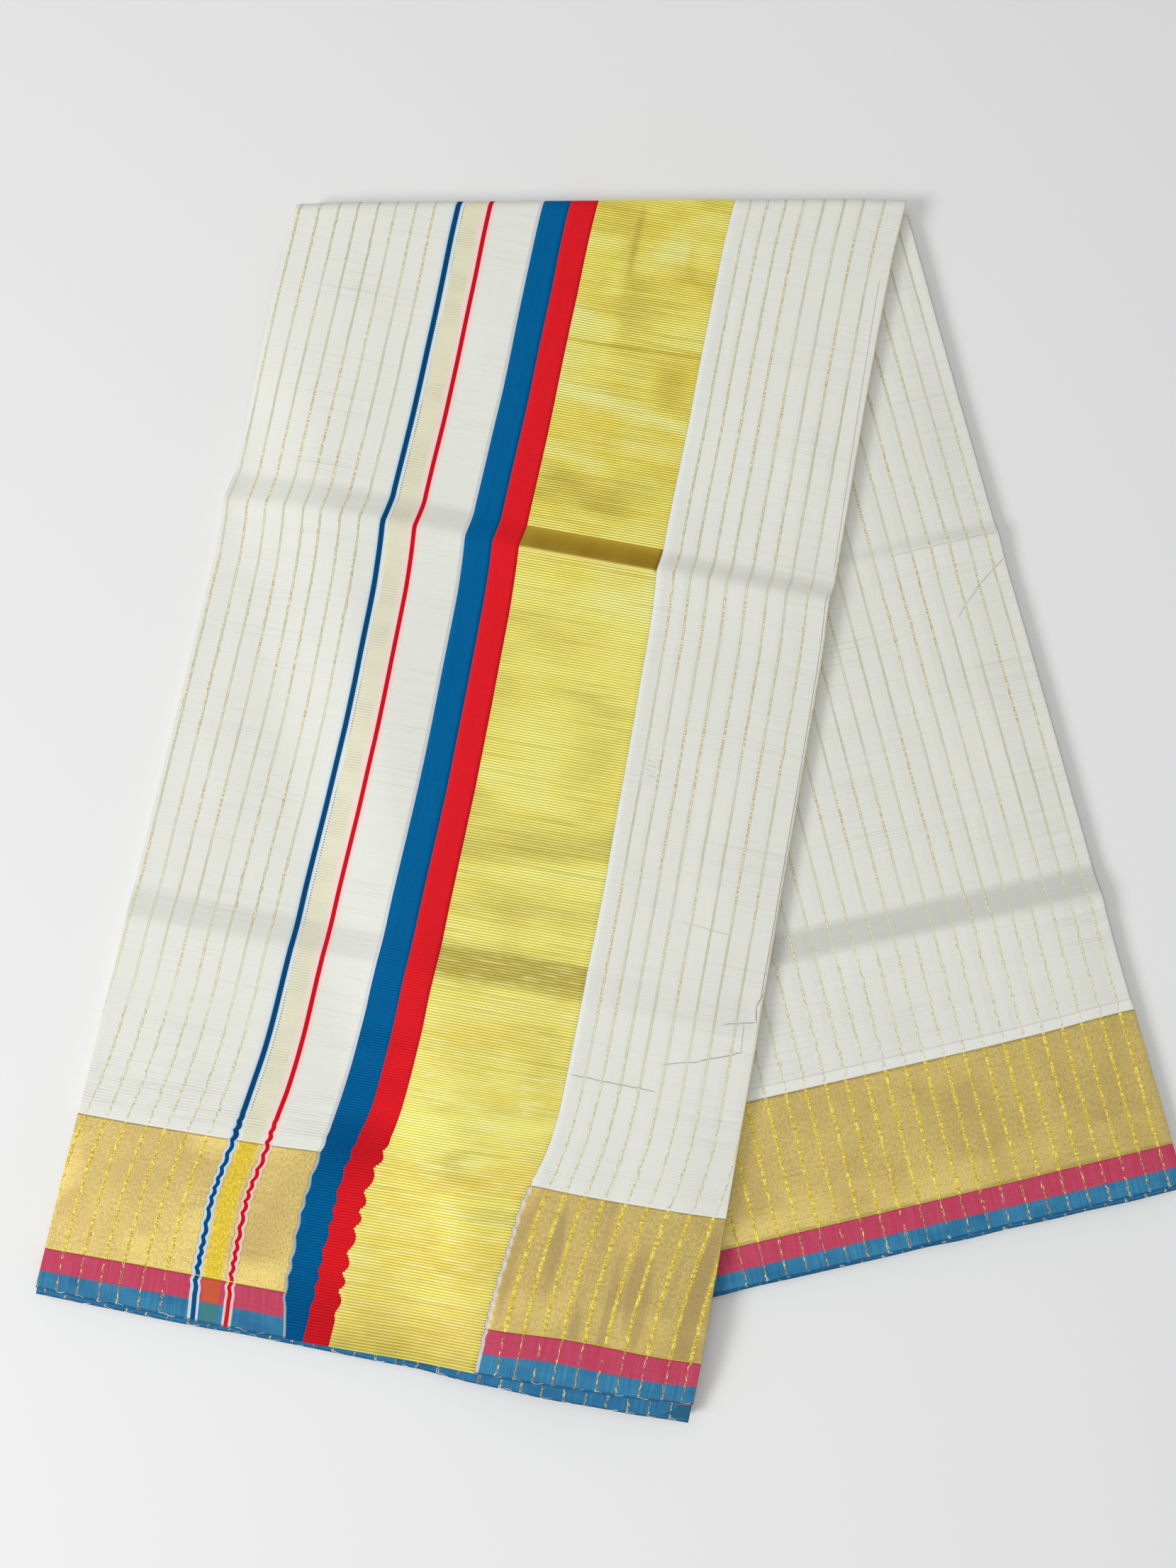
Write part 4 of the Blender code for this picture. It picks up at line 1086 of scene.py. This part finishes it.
def loopColumns(left):
    # The folded edge of the top layer: from below, round and up, as u and depth
    r = clothMaking["edgeRadius"]
    turn = np.linspace(-90.0, 90.0, 9)
    u = np.concatenate([[clothMaking["tuck"], 0.5 * clothMaking["tuck"]], r - r * np.cos(np.radians(turn))])
    depth = np.concatenate([[2 * r, 2 * r], r - r * np.sin(np.radians(turn))])
    return (u, depth) if left else (pack["width"] - u[::-1], depth[::-1])


def columnsBetween(low, high, count, leftLoop=False, rightLoop=False):
    u = np.linspace(low, high, count + 1)
    depth = np.zeros_like(u)
    if leftLoop:
        edge = loopColumns(True)
        u, depth = np.concatenate([edge[0], u[1:]]), np.concatenate([edge[1], depth[1:]])
    if rightLoop:
        edge = loopColumns(False)
        u, depth = np.concatenate([u[:-1], edge[0]]), np.concatenate([depth[:-1], edge[1]])
    return u, depth


def slid(m, row):
    leg, at, share = row
    if leg == "roll":
        return m + float(slideAt(m, slideRows[-1]) * rollShare(at))
    if leg == "front":
        s = at + bowAt(leg, acrossAt(m, at), at) if share == 1.0 else mixed(frontEnd(m), at, share)
        return float(acrossAt(m, s))
    return m


def wovenAt(u, row, s):
    # Place across the end piece at the fold of what lies at u, by going back along the slide
    leg, at, share = row
    if leg == "front" and share == 1.0:
        s = at + bowAt(leg, u, at)
    m = u
    for turn in range(16):
        m = u - slideAt(m, slideRows[-1]) * rollShare(at) if leg == "roll" else u - slideAt(m, s)
    return m


def clothStretch(name, rows, low, high, finish, leg):
    # A stretch of cloth from one woven place to another. None stands for the pack's own folded edge.
    r, width = clothMaking["edgeRadius"], pack["width"]
    points, uv = [], []
    left, right = low is None, high is None
    count = max(6, round(((width if right else high) - (0.0 if left else low)) / clothMaking["columnStep"]))
    for row in rows:
        a = r if left else slid(low, row)
        b = width - r if right else slid(high, row)
        u, depth = columnsBetween(a, b, count, left, right)
        point, s = legPoint(row, u, depth if leg == "back" else pack["legThickness"] - depth)
        m = wovenAt(u, row, s) if leg == "front" else u
        # Below the folded edge the cloth goes on the other way
        under = np.sign(u - 0.5 * width) * (2 * np.minimum(u, width - u) + 0.0004)
        points.append(point)
        uv.append(np.stack([m + np.where(depth > r, under, 0.0), np.broadcast_to(s, m.shape)], axis=-1))
    values = {"shine": shineAt(*np.concatenate(uv).T)} if finish == "tissueBase" else None
    return gridObject(name, points, uv, finish, values)


print("stage: cloth")
selvedgeTop, borderTop = weave["pinkStripe"], weave["goldBorder"]
blueAt, redAt, tissueAt, tissueEnd = (weave[k] for k in ("blueBand", "redBand", "tissueBand", "tissueEnd"))
wholeRows, upperRows = fieldRows("front", 0.0), fieldRows("front", borderTop)
goldRows = legRows("front", selvedgeTop, borderTop, clothMaking["borderStep"])
edgeRows = legRows("front", 0.0, selvedgeTop, clothMaking["edgeStep"])
backGoldRows = legRows("back", selvedgeTop, borderTop, clothMaking["backBorderStep"])
backEdgeRows = legRows("back", 0.0, selvedgeTop, clothMaking["edgeStep"])

# Each stretch: name, rows, from and to across the end piece, finish, the solids it stands for and flat size
stretches = [
    ("frontFieldLeft", upperRows, None, blueAt, "cottonLined", ["front_field_left"], (0.134, 0.52)),
    ("frontFieldRight", upperRows, tissueEnd, None, "cottonRight", ["front_field_right"], (0.094, 0.53)),
    ("frontGoldLeft", goldRows, None, blueAt, "goldLined", ["front_gold_border_left"], (0.122, 0.0636)),
    ("frontGoldRight", goldRows, tissueEnd, None, "goldRight", ["front_gold_border_right"], (0.108, 0.0636)),
    ("frontSelvedgeLeft", edgeRows, None, blueAt, "selvedgeLined",
     ["front_pink_stripe_left", "front_blue_selvedge_left"], (0.120, 0.0184)),
    ("frontSelvedgeRight", edgeRows, tissueEnd, None, "selvedgeRight",
     ["front_pink_stripe_right", "front_blue_selvedge_right"], (0.108, 0.0184)),
    ("blueBand", wholeRows, blueAt, redAt, "blue", ["end_piece_blue_band"], (0.0128, 0.592)),
    ("redBand", wholeRows, redAt, tissueAt, "red", ["end_piece_red_band"], (0.0143, 0.594)),
    ("tissueBand", wholeRows, tissueAt, tissueEnd, "tissueBase", ["end_piece_tissue_band"], (0.0678, 0.600)),
    ("backField", fieldRows("back", borderTop), None, None, "cottonBack", ["back_field"], (0.317, 0.449)),
    ("backGold", backGoldRows, None, None, "gold", ["back_gold_border"], (0.317, 0.0636)),
    ("backSelvedge", backEdgeRows, None, None, "selvedge", ["back_pink_stripe", "back_blue_selvedge"],
     (0.317, 0.0184)),
]
cloth = {}
for name, rows, low, high, finish, nodes, flat in stretches:
    cloth[name] = clothStretch(name, rows, low, high, finish, "back" if name.startswith("back") else "front")

# What the other sheets are made to, in metres
otherMaking = {"inset": 0.0012, "layerInset": 0.0006, "secondTo": 0.022, "secondStep": 0.0011,
               "secondDepth": 0.00090, "droop": 0.00030}


def underCloth(name):
    # The end piece goes on round the fold and under the back leg, face down
    points, uv = [], []
    u = np.linspace(otherMaking["inset"], pack["width"] - otherMaking["inset"], 80)
    h = np.full_like(u, pack["legThickness"])
    for angle in np.linspace(pack["rollFaceEnd"] + 0.01, math.pi, 5):
        point, s = legPoint(("roll", angle, 1.0), u, h)
        points.append(point)
        uv.append(np.stack([u, np.broadcast_to(s, u.shape)], axis=-1))
    for share in np.linspace(0.0, 1.0, 60)[1:]:
        v = (backEnd(u) - backPeek(u)) * share
        points.append(backPoint(u, v, h))
        uv.append(np.stack([u, frontEnd(u) + math.pi * pack["rollMiddle"] + v], axis=-1))
    return gridObject(name, points, uv, "cottonUnder")


def secondLayer(name, leg):
    # The next layer's selvedge, which shows a little beyond the top layer's
    u = np.linspace(otherMaking["layerInset"], pack["width"] - otherMaking["layerInset"], 150)
    end, point = (frontEnd, frontPoint) if leg == "front" else (backEnd, backPoint)
    points, uv = [], []
    for s in steps(0.0, otherMaking["secondTo"], otherMaking["secondStep"]):
        droop = otherMaking["droop"] * (1.0 - smooth(s / 0.0013))
        ripple = 0.0001 * latticeNoise(u / 0.012, np.full_like(u, s / 0.006), 31)
        depth = otherMaking["secondDepth"] + droop + ripple
        edge = 0.0004 * latticeNoise(u / 0.020, np.zeros_like(u), 37) * (1.0 - smooth(s / 0.012))
        h = depth if leg == "back" else pack["legThickness"] - depth
        points.append(point(u, end(u) - s - 0.0001 + edge, h))
        uv.append(np.stack([u, np.full_like(u, s)], axis=-1))
    return gridObject(name, points, uv, "secondLayer")


cloth["underCloth"] = underCloth("underCloth")
for leg in ("Front", "Back"):
    cloth[f"secondLayer{leg}"] = secondLayer(f"secondLayer{leg}", leg.lower())

# Hidden layers: one rounded block whose sides show folded loops and whose ends show the layers' selvedges
layerMaking = {"layers": 16, "loopDepth": 0.00055, "endDepth": 0.00050, "stagger": 0.00045,
               "endStagger": 0.0011, "columns": 44, "step": 0.0055, "side": 0.0006, "end": 0.0009,
               "endReach": 0.02,
               "frontLow": 0.0001, "frontHigh": 0.00655, "backLow": 0.00095, "backHigh": 0.00705}


def layerLevels():
    # Heights in the block, in layers: each layer has its seam and two places on its rounded edge
    count = layerMaking["layers"]
    return np.array([k + t for k in range(count) for t in (0.0, 0.28, 0.72)] + [float(count)])


def sideInset(level, left, along):
    # How far in the folded loops at a side lie. A loop takes two layers.
    loop = 1.0 - np.sqrt(np.clip(1.0 - (2.0 * ((level / 2.0) % 1.0) - 1.0) ** 2, 0.0, 1.0))
    which = np.floor(np.minimum(level, layerMaking["layers"] - 0.01) / 2.0)
    wander = latticeNoise(which * 7.3 + (3.1 if left else 51.7), np.full_like(which, along / 0.045), 23)
    return layerMaking["side"] + loop * layerMaking["loopDepth"] + layerMaking["stagger"] * wander


def endInset(level, u, leg):
    # How far in the selvedges of the layers lie at a leg's end
    bulge = 1.0 - np.sqrt(np.clip(1.0 - (2.0 * (level % 1.0) - 1.0) ** 2, 0.0, 1.0))
    which = np.floor(np.minimum(level, layerMaking["layers"] - 0.01))[:, None]
    wander = latticeNoise(which * 5.7 + (2.0 if leg == "front" else 40.0), u[None, :] / 0.05 + which, 29)
    staggered = layerMaking["endStagger"] * (0.55 + 0.45 * wander)
    return layerMaking["end"] + bulge[:, None] * layerMaking["endDepth"] + staggered


def layerSection(level, leg, at, along):
    # One cross section of the block, as (level, column) points with their woven places
    turned = {"front": 0.0, "back": 1.0}.get(leg, at / math.pi)
    low = mixed(layerMaking["frontLow"], layerMaking["backLow"], turned)
    high = mixed(layerMaking["frontHigh"], layerMaking["backHigh"], turned)
    left, right = sideInset(level, True, along)[:, None], sideInset(level, False, along)[:, None]
    q = np.linspace(0.0, 1.0, layerMaking["columns"] + 1)
    u = mixed(left, pack["width"] - right, q[None, :])
    h = mixed(low, high, level / layerMaking["layers"])[:, None] + np.zeros_like(u)
    if leg == "roll":
        return rollPoint(u, np.full_like(u, at), h), np.stack([u, frontEnd(u) + pack["rollMiddle"] * at],
                                                              axis=-1)
    end, place = (frontEnd, frontPoint) if leg == "front" else (backEnd, backPoint)
    length = end(u)
    near = np.clip(1.0 - (at * length) / layerMaking["endReach"], 0.0, 1.0)
    v = length * (1.0 - at) - endInset(level, q * pack["width"], leg) * near
    return place(u, v, h), np.stack([u, length - v], axis=-1)


def layerBlock(name):
    level = layerLevels()
    path = [("front", t) for t in np.linspace(0.0, 1.0, round(0.57 / layerMaking["step"]) + 1)[:-1]]
    path += [("roll", a) for a in np.linspace(0.0, math.pi, 17)]
    path += [("back", t) for t in np.linspace(1.0, 0.0, round(0.53 / layerMaking["step"]) + 1)[1:]]
    rings = [layerSection(level, leg, at, k * layerMaking["step"]) for k, (leg, at) in enumerate(path)]
    # The sections hold their outline, and the two ends their whole grid
    levels, columns = len(level), layerMaking["columns"] + 1
    outline = [(i, 0) for i in range(levels)] + [(levels - 1, j) for j in range(1, columns)]
    outline += [(i, columns - 1) for i in range(levels - 2, -1, -1)]
    outline += [(0, j) for j in range(columns - 2, 0, -1)]
    i, j = np.array(outline).T
    points = [point[i, j] for point, place in rings]
    uv = [place[i, j] for point, place in rings]
    marks = [level[i]] * len(rings)
    count = len(outline)
    around = np.arange(count)
    faces = []
    for k in range(len(rings) - 1):
        a, b = k * count + around, k * count + (around + 1) % count
        faces.append(np.stack([a, b, b + count, a + count], axis=1))
    start = len(rings) * count
    for which, flip in ((0, True), (-1, False)):
        point, place = rings[which]
        points.append(point.reshape(-1, 3))
        uv.append(place.reshape(-1, 2))
        marks.append(np.repeat(level, columns))
        faces.append(gridFaces(levels, columns, flip) + start)
        start += levels * columns
    values = {"level": np.concatenate(marks)}
    made = meshObject(name, np.concatenate(points), np.concatenate(faces), np.concatenate(uv), values)
    made.data.materials.append(finishes["layers"])
    made.modifiers.new("weld", "WELD").merge_threshold = 1e-6
    return pointOutwards(plain(made))


def pointOutwards(made):
    work = bmesh.new()
    work.from_mesh(made.data)
    bmesh.ops.recalc_face_normals(work, faces=work.faces)
    work.to_mesh(made.data)
    work.free()
    made.data.shade_smooth()
    return made


print("stage: hidden layers")
cloth["innerLayers"] = layerBlock("innerLayers")


# Threads and ribs that lie on the cloth, from lines drawn on its woven places

def threadTree():
    tree = bpy.data.node_groups.new("threadsOnCloth", "GeometryNodeTree")
    newSockets(tree, "INPUT", [
        ("Lines", "Geometry"), ("Cloth", "Object"), ("Width", "Float", 0.001), ("Height", "Float", 0.0003),
        ("Sides", "Int", 6), ("Lift", "Float", 0.0), ("Uneven", "Float", 0.0),
        ("Uneven Fineness", "Float", 500.0), ("Fade From", "Float", 9.0), ("Fade To", "Float", 10.0),
        ("Seed", "Float", 0.0), ("Finish", "Material")])
    newSockets(tree, "OUTPUT", [("Threads", "Geometry")])
    bench = Bench(tree)
    given = bench.node("NodeGroupInput").outputs

    def named(name, kind="FLOAT_VECTOR"):
        return bench.node("GeometryNodeInputNamedAttribute", {"Name": name}, data_type=kind).outputs[0]

    def stored(geometry, name, value, kind="FLOAT_VECTOR"):
        sockets = {"Geometry": geometry, "Name": name, "Value": value}
        return bench.node("GeometryNodeStoreNamedAttribute", sockets, data_type=kind,
                          domain="POINT").outputs[0]

    def scaled(vector, factor):
        return bench.node("ShaderNodeVectorMath", {0: vector, "Scale": factor}, operation="SCALE").outputs[0]

    drawn = bench.node("GeometryNodeInputPosition").outputs[0]
    place = named("place")
    surface = bench.node("GeometryNodeObjectInfo", {"Object": given["Cloth"]}).outputs["Geometry"]
    wovenMap = named("UVMap")

    def sampled(value):
        made = bench.node("GeometryNodeSampleUVSurface", data_type="FLOAT_VECTOR")
        for name, socket in (("Mesh", surface), ("Value", value), ("Source UV Map", wovenMap),
                             ("Sample UV", place)):
            bench.put(next(i for i in made.inputs if name in (i.identifier, i.name)), socket)
        return made.outputs

    # Each point goes to its place on the cloth, and what finds no place is left out
    on, facing = sampled(drawn), sampled(bench.node("GeometryNodeInputNormal").outputs[0])
    kept = stored(given["Lines"], "place", drawn)
    kept = stored(stored(kept, "facing", facing[0]), "found", on[1], "BOOLEAN")
    target = bench.vector("ADD", on[0], scaled(facing[0], given["Lift"]))
    moved = bench.node("GeometryNodeSetPosition", {"Geometry": kept, "Position": target}).outputs[0]
    missing = bench.node("FunctionNodeBooleanMath", {0: named("found", "BOOLEAN")}, operation="NOT").outputs[0]
    sockets = {"Geometry": moved, "Selection": missing}
    present = bench.node("GeometryNodeDeleteGeometry", sockets, domain="POINT", mode="ALL").outputs[0]
    curves = bench.node("GeometryNodeMeshToCurve", {"Mesh": present}).outputs[0]
    sockets = {"Curve": curves, "Normal": named("facing")}
    turned = bench.node("GeometryNodeSetCurveNormal", sockets, mode="FREE").outputs[0]
    # Its thickness is uneven and can fade out along the cloth
    rough = scaled(bench.vector("MULTIPLY", place, (1.0, 1.0, 0.0)), given["Uneven Fineness"])
    sockets = {"Vector": rough, "W": given["Seed"], "Scale": 1.0, "Detail": 1.0}
    rough = bench.node("ShaderNodeTexNoise", sockets, noise_dimensions="4D").outputs[0]
    size = bench.math("MULTIPLY_ADD", bench.math("SUBTRACT", rough, 0.5), given["Uneven"], 1.0)
    alongCloth = bench.node("ShaderNodeSeparateXYZ", {0: place}).outputs[1]
    size = bench.times(size, bench.spread(alongCloth, given["Fade From"], given["Fade To"], 1.0, 0.02))
    ring = bench.node("GeometryNodeCurvePrimitiveCircle",
                      {"Resolution": given["Sides"], "Radius": 1.0}).outputs[0]
    sockets = {0: bench.times(given["Height"], 0.5), 1: bench.times(given["Width"], 0.5), 2: 1.0}
    scale = bench.node("ShaderNodeCombineXYZ", sockets).outputs[0]
    profile = bench.node("GeometryNodeTransform", {"Geometry": ring, "Scale": scale}).outputs[0]
    sockets = {"Curve": turned, "Profile Curve": profile, "Scale": size, "Fill Caps": True}
    body = bench.node("GeometryNodeCurveToMesh", sockets).outputs[0]
    soft = bench.node("GeometryNodeSetShadeSmooth", {"Geometry": body}).outputs[0]
    whole = bench.node("GeometryNodeRealizeInstances", {"Geometry": soft}).outputs[0]
    finished = bench.node("GeometryNodeSetMaterial",
                          {"Geometry": whole, "Material": given["Finish"]}).outputs[0]
    bench.put(bench.node("NodeGroupOutput").inputs[0], finished)
    return tree


threadsOnCloth = threadTree()
threads, riders = {}, {}

# Each kind of thread or rib, as the group's named inputs
threadMaking = {
    "tissueRibs": {"Width": 0.00112, "Height": 0.00032, "Lift": 0.00003, "Uneven": 0.30,
                   "Uneven Fineness": 200.0, "Seed": 1.0},
    "blueRibs": {"Width": 0.00112, "Height": 0.00036, "Uneven": 0.3, "Uneven Fineness": 300.0, "Seed": 2.0,
                 "Fade From": 0.09, "Fade To": 0.22},
    "redRibs": {"Width": 0.00112, "Height": 0.00032, "Uneven": 0.3, "Uneven Fineness": 300.0, "Seed": 3.0,
                "Fade From": 0.08, "Fade To": 0.20},
    "fieldGlints": {"Width": 0.00036, "Height": 0.00015, "Sides": 4, "Lift": 0.00005, "Uneven": 1.2,
                    "Uneven Fineness": 900.0, "Seed": 12.0},
    "borderZari": {"Width": 0.00042, "Height": 0.00032, "Sides": 4, "Uneven": 1.5, "Uneven Fineness": 1500.0,
                   "Seed": 5.0},
    "selvedgeZari": {"Width": 0.00034, "Height": 0.00022, "Sides": 4, "Uneven": 1.4, "Uneven Fineness": 1300.0,
                     "Seed": 6.0},
    "secondZari": {"Width": 0.00034, "Height": 0.00022, "Sides": 4, "Uneven": 1.4, "Uneven Fineness": 1300.0,
                   "Seed": 9.0},
    "edgeThread": {"Width": 0.00036, "Height": 0.00030, "Sides": 5, "Lift": 0.00004, "Uneven": 0.9,
                   "Uneven Fineness": 700.0, "Seed": 7.0},
}


def layThreads(kind, side, on, lines, finish):
    # lines: lists of (m, s) places, with a third value or without
    name = kind + side
    points, edges = [], []
    for line in lines:
        first = len(points)
        points += [(*map(float, spot), 0.0)[:3] for spot in line]
        edges += [(k, k + 1) for k in range(first, len(points) - 1)]
    mesh = bpy.data.meshes.new(name)
    mesh.from_pydata(points, edges, [])
    made = bpy.data.objects.new(name, mesh)
    bpy.context.scene.collection.objects.link(made)
    laid = made.modifiers.new("threads", "NODES")
    laid.node_group = threadsOnCloth
    sockets = {i.name: i.identifier for i in threadsOnCloth.interface.items_tree if i.in_out == "INPUT"}
    for label, value in {"Cloth": cloth[on], "Finish": finishes[finish], **threadMaking[kind]}.items():
        laid[sockets[label]] = value
    threads[name] = plain(made)
    riders.setdefault(on, []).append(name)


def acrossLines(low, high, places, count, shining=False):
    # From edge to edge of a stretch, with two points close to each edge
    first, second = 0.00005, 0.0004
    m = np.concatenate([[low + first], np.linspace(low + second, high - second, count - 2), [high - first]])
    lines = [np.stack([m, np.full_like(m, s)], axis=1) for s in places]
    return [np.column_stack([line, shineAt(*line.T)]) for line in lines] if shining else lines


def runsOf(line, kept):
    # The runs of a line that are kept
    cuts = np.flatnonzero(np.diff(kept.astype(int))) + 1
    return [run for run, on in zip(np.split(line, cuts), np.split(kept, cuts)) if on[0] and len(run) > 3]


def crinkledLines(places, low, high, making, seed, share=1.0):
    # Metal threads that loop along each stripe, whole or in runs
    lines = []
    s = steps(low, high, making["step"])
    across, along = making["run"]
    for k, m in enumerate(places):
        kept = latticeNoise(np.full_like(s, m / across + 5.0), s / along + 5.0, seed + 1) > making["leaveOut"]
        kept = kept | (s < making.get("whole", -1.0))
        for strand in range(making["strands"]):
            swing = latticeNoise(s / making["loop"], s / 0.031 + 3.7 * k + 11.3 * strand, seed)
            lines += runsOf(np.stack([m + making["sway"] * share * swing, s], axis=1), kept)
    return lines


print("stage: ribs")
ribs = {"pitchLow": 0.00122, "pitchHigh": 0.00128, "lowUntil": 0.14, "first": 0.0004, "until": 0.215,
        "pressed": (0.3868, 0.3998)}


def ribPlaces(high):
    places, s = [], ribs["first"]
    while s < high:
        if not ribs["pressed"][0] < s < ribs["pressed"][1]:
            places.append(s)
        s += mixed(ribs["pitchLow"], ribs["pitchHigh"], min(1.0, s / ribs["lowUntil"]))
    return places


topOfFold = pack["frontRight"] + pack["rollMiddle"] * pack["rollFaceEnd"]
tissueLines = acrossLines(tissueAt, tissueEnd, ribPlaces(topOfFold), 26, shining=True)
layThreads("tissueRibs", "", "tissueBand", tissueLines, "tissueRib")
layThreads("blueRibs", "", "blueBand", acrossLines(blueAt, redAt, ribPlaces(ribs["until"]), 8), "blueRib")
layThreads("redRibs", "", "redBand", acrossLines(redAt, tissueAt, ribPlaces(ribs["until"]), 8), "redRib")

print("stage: zari stripes")
# Each side: places, how far up they go, and how wide they swing in the border and in the field
zones = [("Left", "front", zari["left"], pack["frontLeft"] + 0.08, 0.75, 1.2),
         ("Right", "front", zari["right"], topOfFold, 0.95, 1.0),
         ("Back", "back", backPlaces, 0.56, 0.80, 1.4)]
crinkles = {
    "border": {"strands": 3, "step": 0.00055, "loop": 0.00085, "sway": 0.00130, "run": (0.05, 0.05),
               "leaveOut": -9.0},
    "field": {"strands": 2, "step": 0.00070, "loop": 0.00100, "sway": 0.00085, "run": (0.030, 0.048),
              "leaveOut": 0.14, "whole": 0.135},
    "selvedge": {"strands": 2, "step": 0.00055, "loop": 0.00100, "sway": 0.00080, "run": (0.006, 0.0012),
                 "leaveOut": -0.62},
}
fieldStart, edgeStart, secondTop = borderTop + 0.0012, 0.0004, 0.0110
for side, leg, places, top, swing, fieldSwing in zones:
    on = side if leg == "front" else ""
    layThreads("fieldGlints", side, f"{leg}Field{on}",
               crinkledLines(places, fieldStart, top, crinkles["field"], 51, fieldSwing), "glint")
    layThreads("borderZari", side, f"{leg}Gold{on}",
               crinkledLines(places, selvedgeTop, borderTop, crinkles["border"], 61, swing), "borderStripe")
    layThreads("selvedgeZari", side, f"{leg}Selvedge{on}",
               crinkledLines(places, edgeStart, selvedgeTop, crinkles["selvedge"], 71), "selvedgeTick")

print("stage: layer edges")
edgeMaking = {"dashAt": 0.0005, "firstTick": 0.0045, "tickPitch": 0.0097, "tickCount": 31}
tickPlaces = [edgeMaking["firstTick"] + edgeMaking["tickPitch"] * k for k in range(edgeMaking["tickCount"])]


def edgeDashes(places, reach):
    # The metal thread turns at the selvedge and runs a little way along it
    found = []
    for k, m in enumerate(places):
        length = reach * (0.7 + 0.6 * ((k * 7) % 5) / 5.0)
        along = np.linspace(m - 0.0006, m + length, 7)
        found.append(np.stack([along, edgeMaking["dashAt"] + 0.0003 * np.sin(along * 900.0 + k)], axis=1))
    return found


for side, places, on, reach in (
        ("Left", zari["left"] + [0.0790, 0.1030, 0.1130], "frontSelvedgeLeft", 0.0044),
        ("Right", zari["right"], "frontSelvedgeRight", 0.0040), ("Back", backPlaces, "backSelvedge", 0.0012),
        ("SecondFront", tickPlaces, "secondLayerFront", 0.0048),
        ("SecondBack", tickPlaces, "secondLayerBack", 0.0012)):
    layThreads("edgeThread", side, on, edgeDashes(places, reach), "edgeThread")
for side in ("Front", "Back"):
    layThreads("secondZari", side, f"secondLayer{side}",
               crinkledLines(tickPlaces, edgeStart, secondTop, crinkles["selvedge"], 81), "selvedgeTick")

print("stage: walls and declaration")
for name, made in cloth.items():
    if name != "innerLayers":
        wall = made.modifiers.new("wall", "SOLIDIFY")
        wall.thickness, wall.offset = clothMaking["thickness"], -1.0
        wall.use_even_offset = wall.use_quality_normals = True
        plain(made)

for piece in [*cloth.values(), *threads.values()]:
    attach(piece, "root")
for name, rows, low, high, finish, nodes, flat in stretches:
    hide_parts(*nodes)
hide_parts("under_face")
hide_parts("hidden_layers")

print("stage: floor, light and camera")
studio = {
    "floor": (238, 239, 238), "world": 0.33, "floorReach": 4.0, "floorAt": -0.0002,
    "key": 40.7, "keyAt": (-1.9, -1.1, 1.7), "keySize": 0.9,
    "fill": 19.3, "fillAt": (-0.2, 0.1, 2.4), "fillSize": 2.4,
    "camera": (-0.01017, -0.11634, 0.68512), "pitch": math.radians(9.218), "roll": math.radians(-0.368),
    "lens": 32.55,
}
reach, floorAt = studio["floorReach"], studio["floorAt"]
corners = [(-reach, -reach, floorAt), (reach, -reach, floorAt), (reach, reach, floorAt),
           (-reach, reach, floorAt)]
floor = meshObject("floor", corners, [(0, 1, 2, 3)])
paper = bpy.data.materials.new("paleFloor")
paper.use_nodes = True
paper.node_tree.nodes["Principled BSDF"].inputs["Base Color"].default_value = srgb(studio["floor"])
paper.node_tree.nodes["Principled BSDF"].inputs["Roughness"].default_value = 0.9
floor.data.materials.append(paper)

world = bpy.data.worlds.new("studio")
world.use_nodes = True
world.node_tree.nodes["Background"].inputs["Color"].default_value = (1.0, 1.0, 1.0, 1.0)
world.node_tree.nodes["Background"].inputs["Strength"].default_value = studio["world"]
bpy.context.scene.world = world
for lamp in ("key", "fill"):
    lampData = bpy.data.lights.new(lamp, "AREA")
    lampData.energy, lampData.size = studio[lamp], studio[lamp + "Size"]
    lampObject = bpy.data.objects.new(lamp, lampData)
    lampObject.location = studio[lamp + "At"]
    lampObject.rotation_mode = "QUATERNION"
    lampObject.rotation_quaternion = (-Vector(studio[lamp + "At"])).to_track_quat("-Z", "Y")
    bpy.context.scene.collection.objects.link(lampObject)

sideways = Vector((1.0, 0.0, 0.0))
forward = Vector((0.0, math.sin(studio["pitch"]), -math.cos(studio["pitch"])))
level = Vector((0.0, math.cos(studio["pitch"]), math.sin(studio["pitch"])))
right = math.cos(studio["roll"]) * sideways + math.sin(studio["roll"]) * level
up = math.cos(studio["roll"]) * level - math.sin(studio["roll"]) * sideways
cameraData = bpy.data.cameras.new("camera")
cameraData.lens, cameraData.sensor_width = studio["lens"], 36.0
camera = bpy.data.objects.new("camera", cameraData)
camera.matrix_world = Matrix((right, up, -forward)).transposed().to_4x4()
camera.location = studio["camera"]
bpy.context.scene.collection.objects.link(camera)
bpy.context.scene.camera = camera
bpy.context.scene.view_settings.view_transform = "Standard"

print("stage: done")
